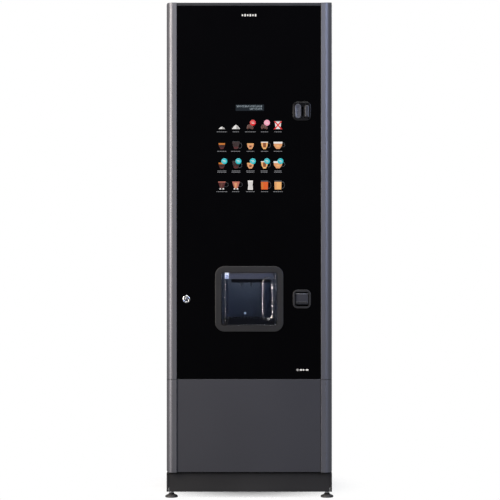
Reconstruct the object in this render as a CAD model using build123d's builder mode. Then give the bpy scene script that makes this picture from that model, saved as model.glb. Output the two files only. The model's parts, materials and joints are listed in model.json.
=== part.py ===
"""Floor-standing hot drinks vending machine: cabinet, hinged front door and the units inside.

Frame: millimetres, +Z up, the door faces -Y, origin on the floor under the middle of the machine.
"""
from build123d import *
import os

# ---- Cabinet ---------------------------------------------------------------------------------
cabinet_width = 610.0
machine_depth = 735.0
cabinet_top = 1825.0
sheet = 2.0
flange_width = 35.0
screw_head = 2.0
inlet_inset = 85.0
inlet_rise = 60.0
inlet_width = 50.0
inlet_height = 30.0

# ---- Fits ------------------------------------------------------------------------------------
running_fit = 0.05
edge_gap = 0.5
hand_gap = 1.5

# ---- Base and feet ---------------------------------------------------------------------------
foot_radius = 23.5
foot_overhang = 6.5
foot_inset = 28.0
pad_height = 16.0
stud_radius = 6.0
stud_length = 50.0
base_bottom = 23.0
base_top = 92.0
plinth_setback = 22.5
plinth_lip = 8.0
corner_strip = 7.0

# ---- Door shell ------------------------------------------------------------------------------
door_bottom = 97.0
door_thickness = 70.0
seal_gap = 7.0
post_left_width = 38.0
post_right_width = 41.0
post_wall = 2.5
post_cap = 25.0
post_seam = 439.0
seam_gap = 1.4
land_width = 15.0
land_ease = 1.0
flank_depth = 30.0
corner_round = 7.0
rail_height = 11.0
glass_thickness = 6.0
glass_setback = 5.0
bezel_proud = 3.0
hinge_inset = 13.0
hinge_setback = 14.5
pin_radius = 6.0
hinge_plate = 5.0

# ---- Cup station in the door -----------------------------------------------------------------
station_z = 735.0
station_width = 207.0
station_height = 197.0
station_round = 11.0
station_ring = 22.0
ring_round = 34.0
collar_wall = 3.0
chamber_depth = 145.0
chamber_wall = 2.5
chamber_round = 3.0
cup_door_thickness = 4.0
cup_pin_radius = 1.5
tray_height = 24.0

# ---- Coin entry, coin return, lock, display and selection board ------------------------------
coin_x = 193.5
coin_z = 1425.5
coin_width = 66.5
coin_height = 69.0
coin_round = 18.0
coin_rim = 6.0
lever_width = 15.5
lever_height = 45.0
slot_width = 5.0
slot_height = 34.0
return_z = 734.5
flap_width = 46.0
flap_height = 41.0
flap_thickness = 2.5
flap_pin_radius = 1.5
lock_x = -231.5
lock_z = 734.0
lock_ring_radius = 14.0
barrel_radius = 11.0
core_radius = 8.0
lock_travel = 20.0
bar_width = 18.0
bar_thickness = 4.0
display_z = 1438.5
display_width = 124.0
display_height = 37.0
board_width = 258.0
board_bottom = 1105.0
board_top = 1408.0

# ---- Units in the cabinet --------------------------------------------------------------------
shelf_z = 1200.0
shelf_front = -150.0
turret_radius = 106.0
tube_radius = 41.0
tube_wall = 2.5
tube_count = 4
turret_height = 350.0
dispenser_height = 88.0
spindle_radius = 8.0
canister_count = 3
canister_front = -140.0
canister_depth = 230.0
canister_height = 260.0
canister_wall = 2.5
unit_gap = 6.0
trough_z = 22.0
trough_radius = 12.5
auger_radius = 11.0
auger_shaft = 4.0
lid_thickness = 5.0
lid_pin_radius = 2.0
hopper_height = 230.0
grinder_height = 130.0
bore_radius = 22.0
piston_stroke = 30.0
boiler_radius = 75.0
boiler_height = 240.0
boiler_z = 700.0
bin_width = 300.0
bin_height = 300.0

# ---- Places that follow from the sizes above -------------------------------------------------
half_width = cabinet_width / 2
front = -machine_depth / 2
back = machine_depth / 2
door_back = front + door_thickness
cabinet_front = door_back + seal_gap
door_top = cabinet_top - edge_gap
glass_front = front + glass_setback
glass_back = glass_front + glass_thickness
pan_back = glass_back + sheet
inner_left = post_left_width - half_width
inner_right = half_width - post_right_width
rail_bottom = door_top - rail_height
base_front = front + plinth_setback
cabinet_back = back - screw_head - sheet
inlet_x = half_width - inlet_inset
inlet_z = base_top + inlet_rise
inner_wall = half_width - sheet
top_underside = cabinet_top - sheet
foot_x = half_width + foot_overhang - foot_radius
front_foot_y = base_front + foot_inset
back_foot_y = cabinet_back - foot_inset
hinge_x = half_width - hinge_inset
hinge_y = door_back - hinge_setback
station_top = station_z + station_height / 2
station_bottom = station_z - station_height / 2
chamber_back = pan_back + chamber_depth
bezel_front = glass_front - bezel_proud
return_x = coin_x
slot_left = coin_x + 0.5
bar_left = inner_left + sheet + 3.0
hook_levels = (420.0, 1500.0)
turret_x = turret_radius + 14.0 - half_width
turret_y = -20.0
drop_y = turret_y - (turret_radius - tube_radius - 3.0)
bays_left = turret_x + turret_radius + 3 * unit_gap
bay_pitch = (inner_wall - bays_left) / (canister_count + 1)
canister_width = bay_pitch - unit_gap
canister_back = canister_front + canister_depth
canister_top = shelf_z + canister_height
auger_z = shelf_z + trough_z
hopper_x = bays_left + (canister_count + 0.5) * bay_pitch
hopper_bottom = shelf_z + grinder_height
hopper_top = hopper_bottom + hopper_height


# ---- Shared shapes ---------------------------------------------------------------------------
def front_plane(y):
    """Upright plane at depth y that faces the customer: its axes are X and Z."""
    return Plane.XZ.offset(-y)


def span_box(x0, x1, y0, y1, z0, z1, mode=Mode.ADD):
    """Box between two opposite corners."""
    with Locations(((x0 + x1) / 2, (y0 + y1) / 2, (z0 + z1) / 2)):
        Box(x1 - x0, y1 - y0, z1 - z0, mode=mode)


def upright_rod(x, y, z0, z1, radius, mode=Mode.ADD):
    """Round bar along Z."""
    with Locations((x, y, (z0 + z1) / 2)):
        Cylinder(radius, z1 - z0, mode=mode)


def depth_rod(x, z, y0, y1, radius, mode=Mode.ADD):
    """Round bar along Y."""
    with Locations((x, (y0 + y1) / 2, z)):
        Cylinder(radius, y1 - y0, rotation=(90, 0, 0), mode=mode)


def cross_rod(y, z, x0, x1, radius, mode=Mode.ADD):
    """Round bar along X."""
    with Locations(((x0 + x1) / 2, y, z)):
        Cylinder(radius, x1 - x0, rotation=(0, 90, 0), mode=mode)


def face_slab(x, z, width, height, radius, y0, y1, mode=Mode.ADD):
    """Upright plate with round corners, centred on x and z, from depth y0 to depth y1."""
    with BuildSketch(front_plane(y1)) as outline:
        with Locations((x, z)):
            RectangleRounded(width, height, radius)
    extrude(outline.sketch, amount=y1 - y0, mode=mode)


def front_rim(part):
    """Edges round the foremost face of a part."""
    return part.faces().sort_by(Axis.Y)[0].outer_wire().edges()


# ---- Base ------------------------------------------------------------------------------------
def make_base_frame():
    """Welded tray under the cabinet with a deck, side cheeks and four bushed foot blocks."""
    with BuildPart() as base_frame:
        span_box(-half_width, half_width, base_front, cabinet_back, base_bottom, base_top)
        span_box(-inner_wall, inner_wall, base_front, cabinet_back - sheet, base_bottom,
                 base_top - sheet, Mode.SUBTRACT)
        for side in (-1, 1):
            strip = sorted((side * half_width, side * (half_width - corner_strip)))
            span_box(*strip, base_front, base_front + sheet, base_bottom, base_top)
            block = sorted((side * inner_wall, side * (foot_x - foot_radius)))
            for y in (front_foot_y, back_foot_y):
                span_box(*block, y - foot_radius, y + foot_radius, base_bottom + foot_radius, base_top)
        upstand = half_width - flange_width
        span_box(-upstand, upstand, cabinet_front, cabinet_front + sheet, base_top, base_top + flange_width)
        for x in (-foot_x, foot_x):
            for y in (front_foot_y, back_foot_y):
                upright_rod(x, y, base_bottom, base_top - sheet, stud_radius + running_fit, Mode.SUBTRACT)
    base_frame.part.label = "base_frame"
    export_step(base_frame.part, "parts/base_frame.step")


def make_plinth_panel():
    """Kick plate between the corner strips, with a folded lip that stops short of the feet."""
    edge = half_width - corner_strip - edge_gap
    lip_edge = foot_x - 15.0
    with BuildPart() as plinth_panel:
        span_box(-edge, edge, base_front + sheet, base_front + 2 * sheet, base_bottom, base_top - sheet)
        span_box(-lip_edge, lip_edge, base_front, base_front + sheet + 0.5, base_bottom - 1,
                 base_bottom + plinth_lip, Mode.SUBTRACT)
        span_box(-lip_edge, lip_edge, base_front + 2 * sheet, base_front + 10 * sheet, base_bottom,
                 base_bottom + sheet)
    plinth_panel.part.label = "plinth_panel"
    export_step(plinth_panel.part, "parts/plinth_panel.step")


def make_feet():
    """Four levelling feet: domed pad, hexagon for the spanner and threaded stud."""
    places = ((-1, front_foot_y), (1, front_foot_y), (-1, back_foot_y), (1, back_foot_y))
    for number, (side, y) in enumerate(places, start=1):
        with BuildPart() as foot:
            with BuildSketch(Plane.XZ):
                with BuildLine():
                    Polyline((0, pad_height), (0, 0), (foot_radius, 0), (foot_radius, 3))
                    RadiusArc((foot_radius, 3), (stud_radius + 3, pad_height), -foot_radius)
                    Line((stud_radius + 3, pad_height), (0, pad_height))
                make_face()
            revolve(axis=Axis.Z)
            with BuildSketch(Plane.XY.offset(pad_height)):
                RegularPolygon(stud_radius + 3, 6)
            extrude(amount=base_bottom - pad_height - edge_gap)
            upright_rod(0, 0, 0, pad_height + stud_length, stud_radius)
        placed = foot.part.moved(Location((side * foot_x, y, 0)))
        placed.label = f"foot_{number}"
        export_step(placed, f"parts/foot_{number}.step")


# ---- Cabinet shell ---------------------------------------------------------------------------
def make_side_panels():
    """Side sheets folded inward at the front and the back."""
    for side, word in ((-1, "left"), (1, "right")):
        wall = sorted((side * half_width, side * inner_wall))
        fold = sorted((side * half_width, side * (half_width - flange_width)))
        with BuildPart() as side_panel:
            span_box(*wall, cabinet_front, cabinet_back, base_top, top_underside)
            span_box(*fold, cabinet_front, cabinet_front + sheet, base_top, top_underside)
            span_box(*fold, cabinet_back - sheet, cabinet_back, base_top, top_underside)
            for x, z in screw_places():
                depth_rod(x, z, cabinet_back - sheet, cabinet_back, 2 + running_fit, Mode.SUBTRACT)
        side_panel.part.label = f"side_panel_{word}"
        export_step(side_panel.part, f"parts/side_panel_{word}.step")


def make_top_panel():
    """Roof sheet with a folded front edge."""
    upstand = half_width - flange_width
    with BuildPart() as top_panel:
        span_box(-half_width, half_width, cabinet_front, cabinet_back, top_underside, cabinet_top)
        span_box(-upstand, upstand, cabinet_front, cabinet_front + sheet, top_underside - flange_width,
                 top_underside)
    top_panel.part.label = "top_panel"
    export_step(top_panel.part, "parts/top_panel.step")


def screw_places():
    """Positions of the back panel's screws, five up each side."""
    rows = 5
    lowest = base_top + 40.0
    step = (cabinet_top - 2 * 40.0 - base_top) / (rows - 1)
    column = half_width - flange_width / 2
    return [(x, lowest + row * step) for row in range(rows) for x in (-column, column)]


def make_back_panel():
    """Back sheet with two banks of ventilation slots, screw holes and the mains inlet's window."""
    edge = half_width - 8.0
    with BuildPart() as back_panel:
        span_box(-edge, edge, cabinet_back, cabinet_back + sheet, base_top + 8, cabinet_top - 10)
        for level in (base_top + 200.0, cabinet_top - 200.0):
            with BuildSketch(front_plane(cabinet_back + sheet)):
                with Locations((0, level)):
                    with GridLocations(90, 14, 4, 6):
                        SlotOverall(70, 5)
            extrude(amount=sheet, mode=Mode.SUBTRACT)
        for x, z in screw_places():
            depth_rod(x, z, cabinet_back, cabinet_back + sheet, 2 + running_fit, Mode.SUBTRACT)
        span_box(inlet_x - inlet_width / 2, inlet_x + inlet_width / 2, cabinet_back, cabinet_back + sheet,
                 inlet_z - inlet_height / 2, inlet_z + inlet_height / 2, Mode.SUBTRACT)
    back_panel.part.label = "back_panel"
    export_step(back_panel.part, "parts/back_panel.step")


def make_panel_screws():
    """Pan-head screws that hold the back panel, one solid each."""
    seat = cabinet_back + sheet
    with BuildPart() as panel_screws:
        for x, z in screw_places():
            depth_rod(x, z, seat, seat + screw_head, 5)
            depth_rod(x, z, seat - 3 * sheet, seat, 2)
    panel_screws.part.label = "panel_screws"
    export_step(panel_screws.part, "parts/panel_screws.step")


def make_power_inlet():
    """Mains inlet with three contact blades, flush with the back panel."""
    rear = cabinet_back + sheet
    x0, x1 = inlet_x - inlet_width / 2, inlet_x + inlet_width / 2
    z0, z1 = inlet_z - inlet_height / 2, inlet_z + inlet_height / 2
    with BuildPart() as power_inlet:
        span_box(x0, x1, rear - 28, rear, z0, z1)
        span_box(x0 + 12, x1 - 12, rear - 20, rear, z0 + 6, z1 - 6, Mode.SUBTRACT)
        for x, z in ((-7, -2), (0, 3), (7, -2)):
            span_box(inlet_x + x - 1, inlet_x + x + 1, rear - 20, rear - 4, inlet_z + z - 3, inlet_z + z + 3)
    power_inlet.part.label = "power_inlet"
    export_step(power_inlet.part, "parts/power_inlet.step")


def make_hinge_brackets():
    """Top and bottom hinge plates with the pins that the right door post turns on."""
    x0 = hinge_x - 20.0
    y0 = hinge_y - 20.0
    with BuildPart() as hinge_brackets:
        span_box(x0, half_width, y0, cabinet_front + 60, cabinet_top, cabinet_top + hinge_plate)
        span_box(x0, half_width, y0, cabinet_front, base_top, door_bottom - edge_gap)
        fillet(hinge_brackets.edges().filter_by(Axis.Z).group_by(Axis.Y)[0], 8)
        upright_rod(hinge_x, hinge_y, door_top - 16, cabinet_top + 1, pin_radius)
        upright_rod(hinge_x, hinge_y, base_top + 1, door_bottom + 16, pin_radius)
    hinge_brackets.part.label = "hinge_brackets"
    export_step(hinge_brackets.part, "parts/hinge_brackets.step")


def make_lock_keepers():
    """Plates behind the left front fold whose top edges hold the lock bar's hooks."""
    with BuildPart() as lock_keepers:
        for level in hook_levels:
            lip = level - lock_travel - hand_gap
            span_box(6 - inner_wall, bar_left + bar_width + 4, cabinet_front + sheet,
                     cabinet_front + sheet + 3, lip - 38, lip)
    lock_keepers.part.label = "lock_keepers"
    export_step(lock_keepers.part, "parts/lock_keepers.step")


# ---- Door shell ------------------------------------------------------------------------------
def post_outline(side, width, inset=0.0):
    """Section of a door post: flat land beside the glass with an eased edge, then a rounded flank."""
    inner = side * (half_width - width + inset)
    outer = side * (half_width - inset)
    bend = side * (half_width - width + land_width)
    crest, rear = front + inset, door_back - inset
    flank = front + flank_depth
    start = 180 if side < 0 else 270
    with BuildSketch() as outline:
        with BuildLine():
            EllipticalCenterArc((bend, flank), abs(outer - bend), flank - crest, start, arc_size=90)
            Polyline((outer, flank), (outer, rear), (inner, rear), (inner, crest + land_ease),
                     (inner + side * land_ease, crest), (bend, crest))
        make_face()
    return outline.sketch


def make_posts():
    """Hollow door posts, each in an upper and a lower length with solid outer ends."""
    seam_low = post_seam - seam_gap / 2
    seam_high = post_seam + seam_gap / 2
    lengths = (("lower", door_bottom, seam_low), ("upper", seam_high, door_top))
    for side, word, width in ((-1, "left", post_left_width), (1, "right", post_right_width)):
        for level, z0, z1 in lengths:
            cavity = (z0, z1 - post_cap) if level == "upper" else (z0 + post_cap, z1)
            with BuildPart() as post:
                with BuildSketch(Plane.XY.offset(z0)):
                    add(post_outline(side, width))
                extrude(amount=z1 - z0)
                with BuildSketch(Plane.XY.offset(cavity[0])):
                    add(post_outline(side, width, post_wall))
                extrude(amount=cavity[1] - cavity[0], mode=Mode.SUBTRACT)
                round_post_corner(side, width, z0, z1, level)
                if side > 0:
                    upright_rod(hinge_x, hinge_y, z0 - 1, z0 + 20, pin_radius + running_fit, Mode.SUBTRACT)
                    upright_rod(hinge_x, hinge_y, z1 - 20, z1 + 1, pin_radius + running_fit, Mode.SUBTRACT)
            post.part.label = f"post_{word}_{level}"
            export_step(post.part, f"parts/post_{word}_{level}.step")


def round_post_corner(side, width, z0, z1, level):
    """Round the outer corner at the free end of the post that is being built."""
    x_middle = side * (half_width - width / 2)
    with BuildSketch(front_plane(door_back)) as outline:
        with Locations((x_middle, (z0 + z1) / 2)):
            Rectangle(width, z1 - z0)
        end = outline.vertices().group_by(Axis.Y)[-1 if level == "upper" else 0]
        fillet(end.sort_by(Axis.X)[-1 if side > 0 else 0], corner_round)
    extrude(outline.sketch, amount=door_thickness, mode=Mode.INTERSECT)


def make_top_rail():
    """Capping rail across the head of the door."""
    with BuildPart() as top_rail:
        span_box(inner_left, inner_right, glass_front - 1, door_back, rail_bottom, door_top)
        span_box(inner_left, inner_right, glass_back + 2 * sheet, door_back, rail_bottom, door_top - 3,
                 Mode.SUBTRACT)
        chamfer(top_rail.edges().filter_by(Axis.X).sort_by(Axis.Y)[0:2], 1)
    top_rail.part.label = "top_rail"
    export_step(top_rail.part, "parts/top_rail.step")


def coin_window():
    """Width and height of the window behind each coin unit's rim."""
    return coin_width - 2 * coin_rim + 2 * edge_gap, coin_height - 2 * coin_rim + 2 * edge_gap


def plain_block(x0, x1, y0, y1, z0, z1):
    """One box-shaped piece of a welded part."""
    with BuildPart() as block:
        span_box(x0, x1, y0, y1, z0, z1)
    return block.part


def export_welded(name, pieces):
    """Write a part whose pieces are welded face to face, each kept as its own solid."""
    welded = Compound([solid for piece in pieces for solid in piece.solids()])
    welded.label = name
    export_step(welded, f"parts/{name}.step")


def sheet_column(x0, x1, windows):
    """Boxes of the pan's front sheet across one column, leaving the windows open, from the bottom up."""
    pieces, level = [], door_bottom
    for left, right, low, high in windows:
        pieces.append(plain_block(x0, x1, glass_back, pan_back, level, low))
        pieces.append(plain_block(x0, left, glass_back, pan_back, low, high))
        pieces.append(plain_block(right, x1, glass_back, pan_back, low, high))
        level = high
    return pieces + [plain_block(x0, x1, glass_back, pan_back, level, rail_bottom)]


def window(x, z, width, height):
    """Left, right, bottom and top of a rectangular window about its middle."""
    return x - width / 2, x + width / 2, z - height / 2, z + height / 2


def make_pan_face():
    """Front sheet of the door pan in welded strips, with one tall window for both coin units."""
    coin_space, coin_tall = coin_window()
    board_space = board_width + 2
    collar = 2 * (collar_wall + edge_gap)
    lock_space = 2 * (barrel_radius + edge_gap)
    split = (board_space / 2 + coin_x - coin_space / 2) / 2
    return [
        *sheet_column(inner_left, -split, [window(lock_x, lock_z, lock_space, lock_space)]),
        *sheet_column(-split, split, [
            window(0, station_z, station_width + collar, station_height + collar),
            window(0, (board_bottom + board_top) / 2, board_space, board_top - board_bottom + 2),
            window(0, display_z, display_width + 2, display_height + 2),
        ]),
        *sheet_column(split, inner_right, [
            window(coin_x, (coin_z + return_z) / 2, coin_space, coin_z - return_z + coin_tall),
        ]),
    ]


def make_bar_guide(z):
    """Guide block that the lock bar slides through, welded to the left edge strip."""
    with BuildPart() as bar_guide:
        span_box(inner_left + sheet, bar_left + bar_width + 4, door_back - 18, door_back - 6, z, z + 24)
        span_box(bar_left - edge_gap, bar_left + bar_width + edge_gap, door_back - 14 - edge_gap,
                 door_back - 10 + edge_gap, z, z + 24, Mode.SUBTRACT)
    return bar_guide.part


def make_door_pan():
    """Welded steel tray behind the glass, open to the rear, with two guides for the lock bar."""
    left, right = inner_left + sheet, inner_right - sheet
    export_welded("door_pan", [
        *make_pan_face(),
        plain_block(inner_left, left, pan_back, door_back, door_bottom, rail_bottom),
        plain_block(right, inner_right, pan_back, door_back, door_bottom, rail_bottom),
        plain_block(left, right, pan_back, door_back, door_bottom, door_bottom + sheet),
        plain_block(left, right, pan_back, door_back, rail_bottom - sheet, rail_bottom),
        make_bar_guide(station_z - 200.0),
        make_bar_guide(station_z + 500.0),
    ])


def make_front_glass():
    """Black glass front above the seam, cut for the cup station, the coin units and the lock."""
    collar = 2 * (collar_wall + edge_gap)
    with BuildPart() as front_glass:
        span_box(inner_left + edge_gap, inner_right - edge_gap, glass_front, glass_back,
                 post_seam + seam_gap, rail_bottom)
        chamfer(front_rim(front_glass.part), 0.6)
        face_slab(0, station_z, station_width + collar, station_height + collar,
                  station_round + collar / 2, glass_front, glass_back, Mode.SUBTRACT)
        depth_rod(lock_x, lock_z, glass_front, glass_back, barrel_radius + edge_gap, Mode.SUBTRACT)
        for z in (coin_z, return_z):
            x0, x1, z0, z1 = window(coin_x, z, *coin_window())
            span_box(x0, x1, glass_front, glass_back, z0, z1, Mode.SUBTRACT)
    front_glass.part.label = "front_glass"
    export_step(front_glass.part, "parts/front_glass.step")


def make_lower_panel():
    """Folded metal panel under the glass."""
    x0, x1 = inner_left + edge_gap, inner_right - edge_gap
    with BuildPart() as lower_panel:
        span_box(x0, x1, glass_front, glass_back, door_bottom + 1, post_seam)
        span_box(x0 + sheet, x1 - sheet, glass_front + sheet, glass_back, door_bottom + 1 + sheet,
                 post_seam - sheet, Mode.SUBTRACT)
        chamfer(front_rim(lower_panel.part), 1.2)
    lower_panel.part.label = "lower_panel"
    export_step(lower_panel.part, "parts/lower_panel.step")


def make_door_gasket():
    """Rubber seal round the back of the door, standing on the posts."""
    left, right = 7.0 - half_width, hinge_x - 8.0
    low, high = base_top + 20.0, top_underside - 16.0
    with BuildPart() as door_gasket:
        span_box(left, right, door_back, cabinet_front - 0.3, low, high)
        span_box(left + 12, right - 12, door_back, cabinet_front, low + 12, high - 12, Mode.SUBTRACT)
    door_gasket.part.label = "door_gasket"
    export_step(door_gasket.part, "parts/door_gasket.step")


# ---- Cup station -----------------------------------------------------------------------------
def make_cup_bezel():
    """Moulded ring round the cup station with a collar through the glass and pin holes."""
    ring_width = station_width + 2 * station_ring
    ring_height = station_height + 2 * station_ring
    collar = 2 * collar_wall
    x, y = cup_hinge()
    with BuildPart() as cup_bezel:
        face_slab(0, station_z, ring_width, ring_height, ring_round, bezel_front, glass_front)
        fillet(front_rim(cup_bezel.part), 2)
        face_slab(0, station_z, station_width + collar, station_height + collar,
                  station_round + collar_wall, glass_front, pan_back)
        face_slab(0, station_z, station_width, station_height, station_round, bezel_front, pan_back,
                  Mode.SUBTRACT)
        for low, high in ((station_bottom - collar_wall, station_bottom + 3),
                          (station_top - 3, station_top + collar_wall)):
            upright_rod(x, y, low, high, cup_pin_radius + running_fit, Mode.SUBTRACT)
    cup_bezel.part.label = "cup_bezel"
    export_step(cup_bezel.part, "parts/cup_bezel.step")


def cup_hinge():
    """Place of the cup door's hinge line, just inside the left edge of the opening."""
    return 6.0 - station_width / 2, glass_front + cup_door_thickness


def make_cup_door():
    """Clear door of the cup station with a moulded upright pull and two hinge pins."""
    x, y = cup_hinge()
    leaf_front = y - cup_door_thickness / 2
    width = station_width - 2 * hand_gap
    height = station_height - 4 * hand_gap
    pull_x = station_width / 2 - 35.0
    with BuildPart() as cup_door:
        face_slab(0, station_z, width, height, station_round - hand_gap, leaf_front,
                  leaf_front + cup_door_thickness)
        face_slab(pull_x, station_z, 46, height - 30, 22.5, leaf_front - 4.5, leaf_front)
        fillet(front_rim(cup_door.part), 2)
        face_slab(pull_x, station_z, 34, height - 42, 16.5, leaf_front - 5, leaf_front + 1.5, Mode.SUBTRACT)
        for low, high in ((station_bottom - 1.5, station_bottom + 6),
                          (station_top - 6, station_top + 1.5)):
            upright_rod(x, y, low, high, cup_pin_radius)
    cup_door.part.label = "cup_door"
    export_step(cup_door.part, "parts/cup_door.step")


def make_cup_chamber():
    """Moulded liner behind the cup door, with a mounting flange and a drop opening in its roof."""
    wall = 2 * chamber_wall
    with BuildPart() as cup_chamber:
        face_slab(0, station_z, station_width + 40, station_height + 40, ring_round, pan_back, pan_back + 2)
        face_slab(0, station_z, station_width + wall, station_height + wall, chamber_round + chamber_wall,
                  pan_back, chamber_back)
        face_slab(0, station_z, station_width, station_height, chamber_round, pan_back,
                  chamber_back - chamber_wall, Mode.SUBTRACT)
        span_box(-45, 45, chamber_back - 88, chamber_back - 8, station_top - 1, station_top + 6,
                 Mode.SUBTRACT)
    cup_chamber.part.label = "cup_chamber"
    export_step(cup_chamber.part, "parts/cup_chamber.step")


def make_spout_cover():
    """Grey header under the chamber's roof with a darker nozzle rail and three spouts."""
    y0 = pan_back + 8
    with BuildPart() as spout_cover:
        span_box(-75, 90, y0, y0 + 34, station_top - 26, station_top)
        fillet(spout_cover.edges().filter_by(Axis.X).group_by(Axis.Z)[0].sort_by(Axis.Y)[0], 4)
        span_box(-66, 82, y0 + 5, y0 + 30, station_top - 38, station_top - 26)
        for x in (-28, 8, 44):
            upright_rod(x, y0 + 18, station_top - 52, station_top - 38, 5)
            upright_rod(x, y0 + 18, station_top - 53, station_top - 40, 3, Mode.SUBTRACT)
    spout_cover.part.label = "spout_cover"
    export_step(spout_cover.part, "parts/spout_cover.step")


def tray_span():
    """Width and depth range shared by the drip tray and its grille."""
    return station_width / 2 - station_round - 1, pan_back + 6, chamber_back - chamber_wall - 1


def make_drip_tray():
    """Tray that catches drips, standing on the chamber floor."""
    edge, y0, y1 = tray_span()
    with BuildPart() as drip_tray:
        span_box(-edge, edge, y0, y1, station_bottom, station_bottom + tray_height)
        fillet(drip_tray.edges().filter_by(Axis.Z), 5)
        span_box(2 - edge, edge - 2, y0 + 2, y1 - 2, station_bottom + 2, station_bottom + tray_height + 1,
                 Mode.SUBTRACT)
    drip_tray.part.label = "drip_tray"
    export_step(drip_tray.part, "parts/drip_tray.step")


def make_drip_grille():
    """Slotted grille on the drip tray where the cup stands."""
    edge, y0, y1 = tray_span()
    top = station_bottom + tray_height
    with BuildPart() as drip_grille:
        span_box(-edge, edge, y0, y1, top, top + 3)
        fillet(drip_grille.edges().filter_by(Axis.Z), 5)
        with BuildSketch(Plane.XY.offset(top)):
            with Locations((0, (y0 + y1) / 2)):
                with GridLocations(12, 1, 13, 1):
                    SlotOverall(y1 - y0 - 24, 6, rotation=90)
        extrude(amount=3, mode=Mode.SUBTRACT)
    drip_grille.part.label = "drip_grille"
    export_step(drip_grille.part, "parts/drip_grille.step")


# ---- Coin entry and return -------------------------------------------------------------------
def coin_inner():
    """Width and height of the field inside the rim of the coin units."""
    return coin_width - 2 * coin_rim, coin_height - 2 * coin_rim


def make_coin_bezel():
    """Rim, recessed field, raised insert and upright coin slot, with a window for the lever."""
    inner, tall = coin_inner()
    floor = glass_front + 2
    with BuildPart() as coin_bezel:
        face_slab(coin_x, coin_z, coin_width, coin_height, coin_round, bezel_front, glass_front)
        fillet(front_rim(coin_bezel.part), 1.5)
        face_slab(coin_x, coin_z, inner, tall, coin_round - coin_rim, glass_front, pan_back + 4)
        face_slab(coin_x, coin_z, inner - 3, tall - 3, coin_round - coin_rim - 1.5, bezel_front, floor,
                  Mode.SUBTRACT)
        face_slab(coin_x - 3, coin_z, 44, tall - 7, 19, bezel_front + 1, floor)
        span_box(coin_x - 2, coin_x + 26, bezel_front, floor, coin_z - 28, coin_z + 28, Mode.SUBTRACT)
        span_box(slot_left, slot_left + slot_width, bezel_front, pan_back + 4, coin_z - slot_height / 2,
                 coin_z + slot_height / 2, Mode.SUBTRACT)
        lever_left = coin_x + 9.5
        span_box(lever_left, lever_left + lever_width + 1, floor, pan_back + 4,
                 coin_z - lever_height / 2 - edge_gap, coin_z + lever_height / 2 + edge_gap, Mode.SUBTRACT)
    coin_bezel.part.label = "coin_bezel"
    export_step(coin_bezel.part, "parts/coin_bezel.step")


def make_reject_lever():
    """Coin reject button: scooped face, guided shank and a stop flange behind the bezel."""
    x0 = coin_x + 9.5 + edge_gap
    x1 = x0 + lever_width
    low, high = coin_z - lever_height / 2, coin_z + lever_height / 2
    stop = pan_back + 4.3
    with BuildPart() as reject_lever:
        span_box(x0, x1, bezel_front + 0.5, stop + 3, low, high)
        fillet(front_rim(reject_lever.part), 2)
        depth_rod((x0 + x1) / 2, coin_z, bezel_front, bezel_front + 2.5, 6, Mode.SUBTRACT)
        span_box(x0 - 2, x1 + 2, stop, stop + 3, low - 3, high + 3)
    reject_lever.part.label = "reject_lever"
    export_step(reject_lever.part, "parts/reject_lever.step")


def make_coin_mechanism():
    """Coin changer on the back of the door: acceptor head, coin tubes and a slot funnel."""
    x0, x1 = coin_x - 62.0, inner_right - sheet - 4
    y0, y1 = pan_back + 20, pan_back + 98
    with BuildPart() as coin_mechanism:
        span_box(x0, x1, y0, y1, coin_z - 150, coin_z + 30)
        fillet(coin_mechanism.edges().filter_by(Axis.Y), 4)
        span_box(x0 + 6, x1 - 6, y0 + 6, y1, coin_z - 330, coin_z - 150)
        for step in range(4):
            upright_rod(x0 + 22 + step * 27, y1 - 12, coin_z - 330, coin_z - 150, 13)
        span_box(slot_left - 3, slot_left + slot_width + 1.5, pan_back + 4, y0, coin_z - slot_height / 2 - 3,
                 coin_z + slot_height / 2 + 3)
        span_box(slot_left, slot_left + slot_width, pan_back + 4, y0 + 20, coin_z - slot_height / 2,
                 coin_z + slot_height / 2, Mode.SUBTRACT)
        span_box(x1, inner_right - sheet, y0 + 5, door_back - 5, coin_z - 120, coin_z)
    coin_mechanism.part.label = "coin_mechanism"
    export_step(coin_mechanism.part, "parts/coin_mechanism.step")


def flap_hinge():
    """Height and depth of the return flap's hinge line."""
    return return_z + flap_height / 2 + 1.0 - 2.5, glass_front + 3.5


def make_coin_return_cup():
    """Rim and deep pocket that coins drop into, with holes for the flap's pins."""
    inner, tall = coin_inner()
    z, y = flap_hinge()
    pocket_back = pan_back + 58
    with BuildPart() as coin_return_cup:
        face_slab(return_x, return_z, coin_width, coin_height, coin_round, bezel_front, glass_front)
        fillet(front_rim(coin_return_cup.part), 1.5)
        face_slab(return_x, return_z, inner, tall, coin_round - coin_rim, glass_front, pocket_back)
        face_slab(return_x, return_z, inner - 4, tall - 4, 6, bezel_front, pocket_back - 2, Mode.SUBTRACT)
        cross_rod(y, z, return_x - inner / 2, return_x + inner / 2, flap_pin_radius + running_fit,
                  Mode.SUBTRACT)
    coin_return_cup.part.label = "coin_return_cup"
    export_step(coin_return_cup.part, "parts/coin_return_cup.step")


def make_return_flap():
    """Flap over the coin return that swings inward from its top edge."""
    inner, _ = coin_inner()
    z, y = flap_hinge()
    top = z + 2.5
    with BuildPart() as return_flap:
        face_slab(return_x, top - flap_height / 2, flap_width, flap_height, 4,
                  y - flap_thickness / 2, y + flap_thickness / 2)
        cross_rod(y, z, return_x - inner / 2 + 0.3, return_x + inner / 2 - 0.3, flap_pin_radius)
    return_flap.part.label = "return_flap"
    export_step(return_flap.part, "parts/return_flap.step")


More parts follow.
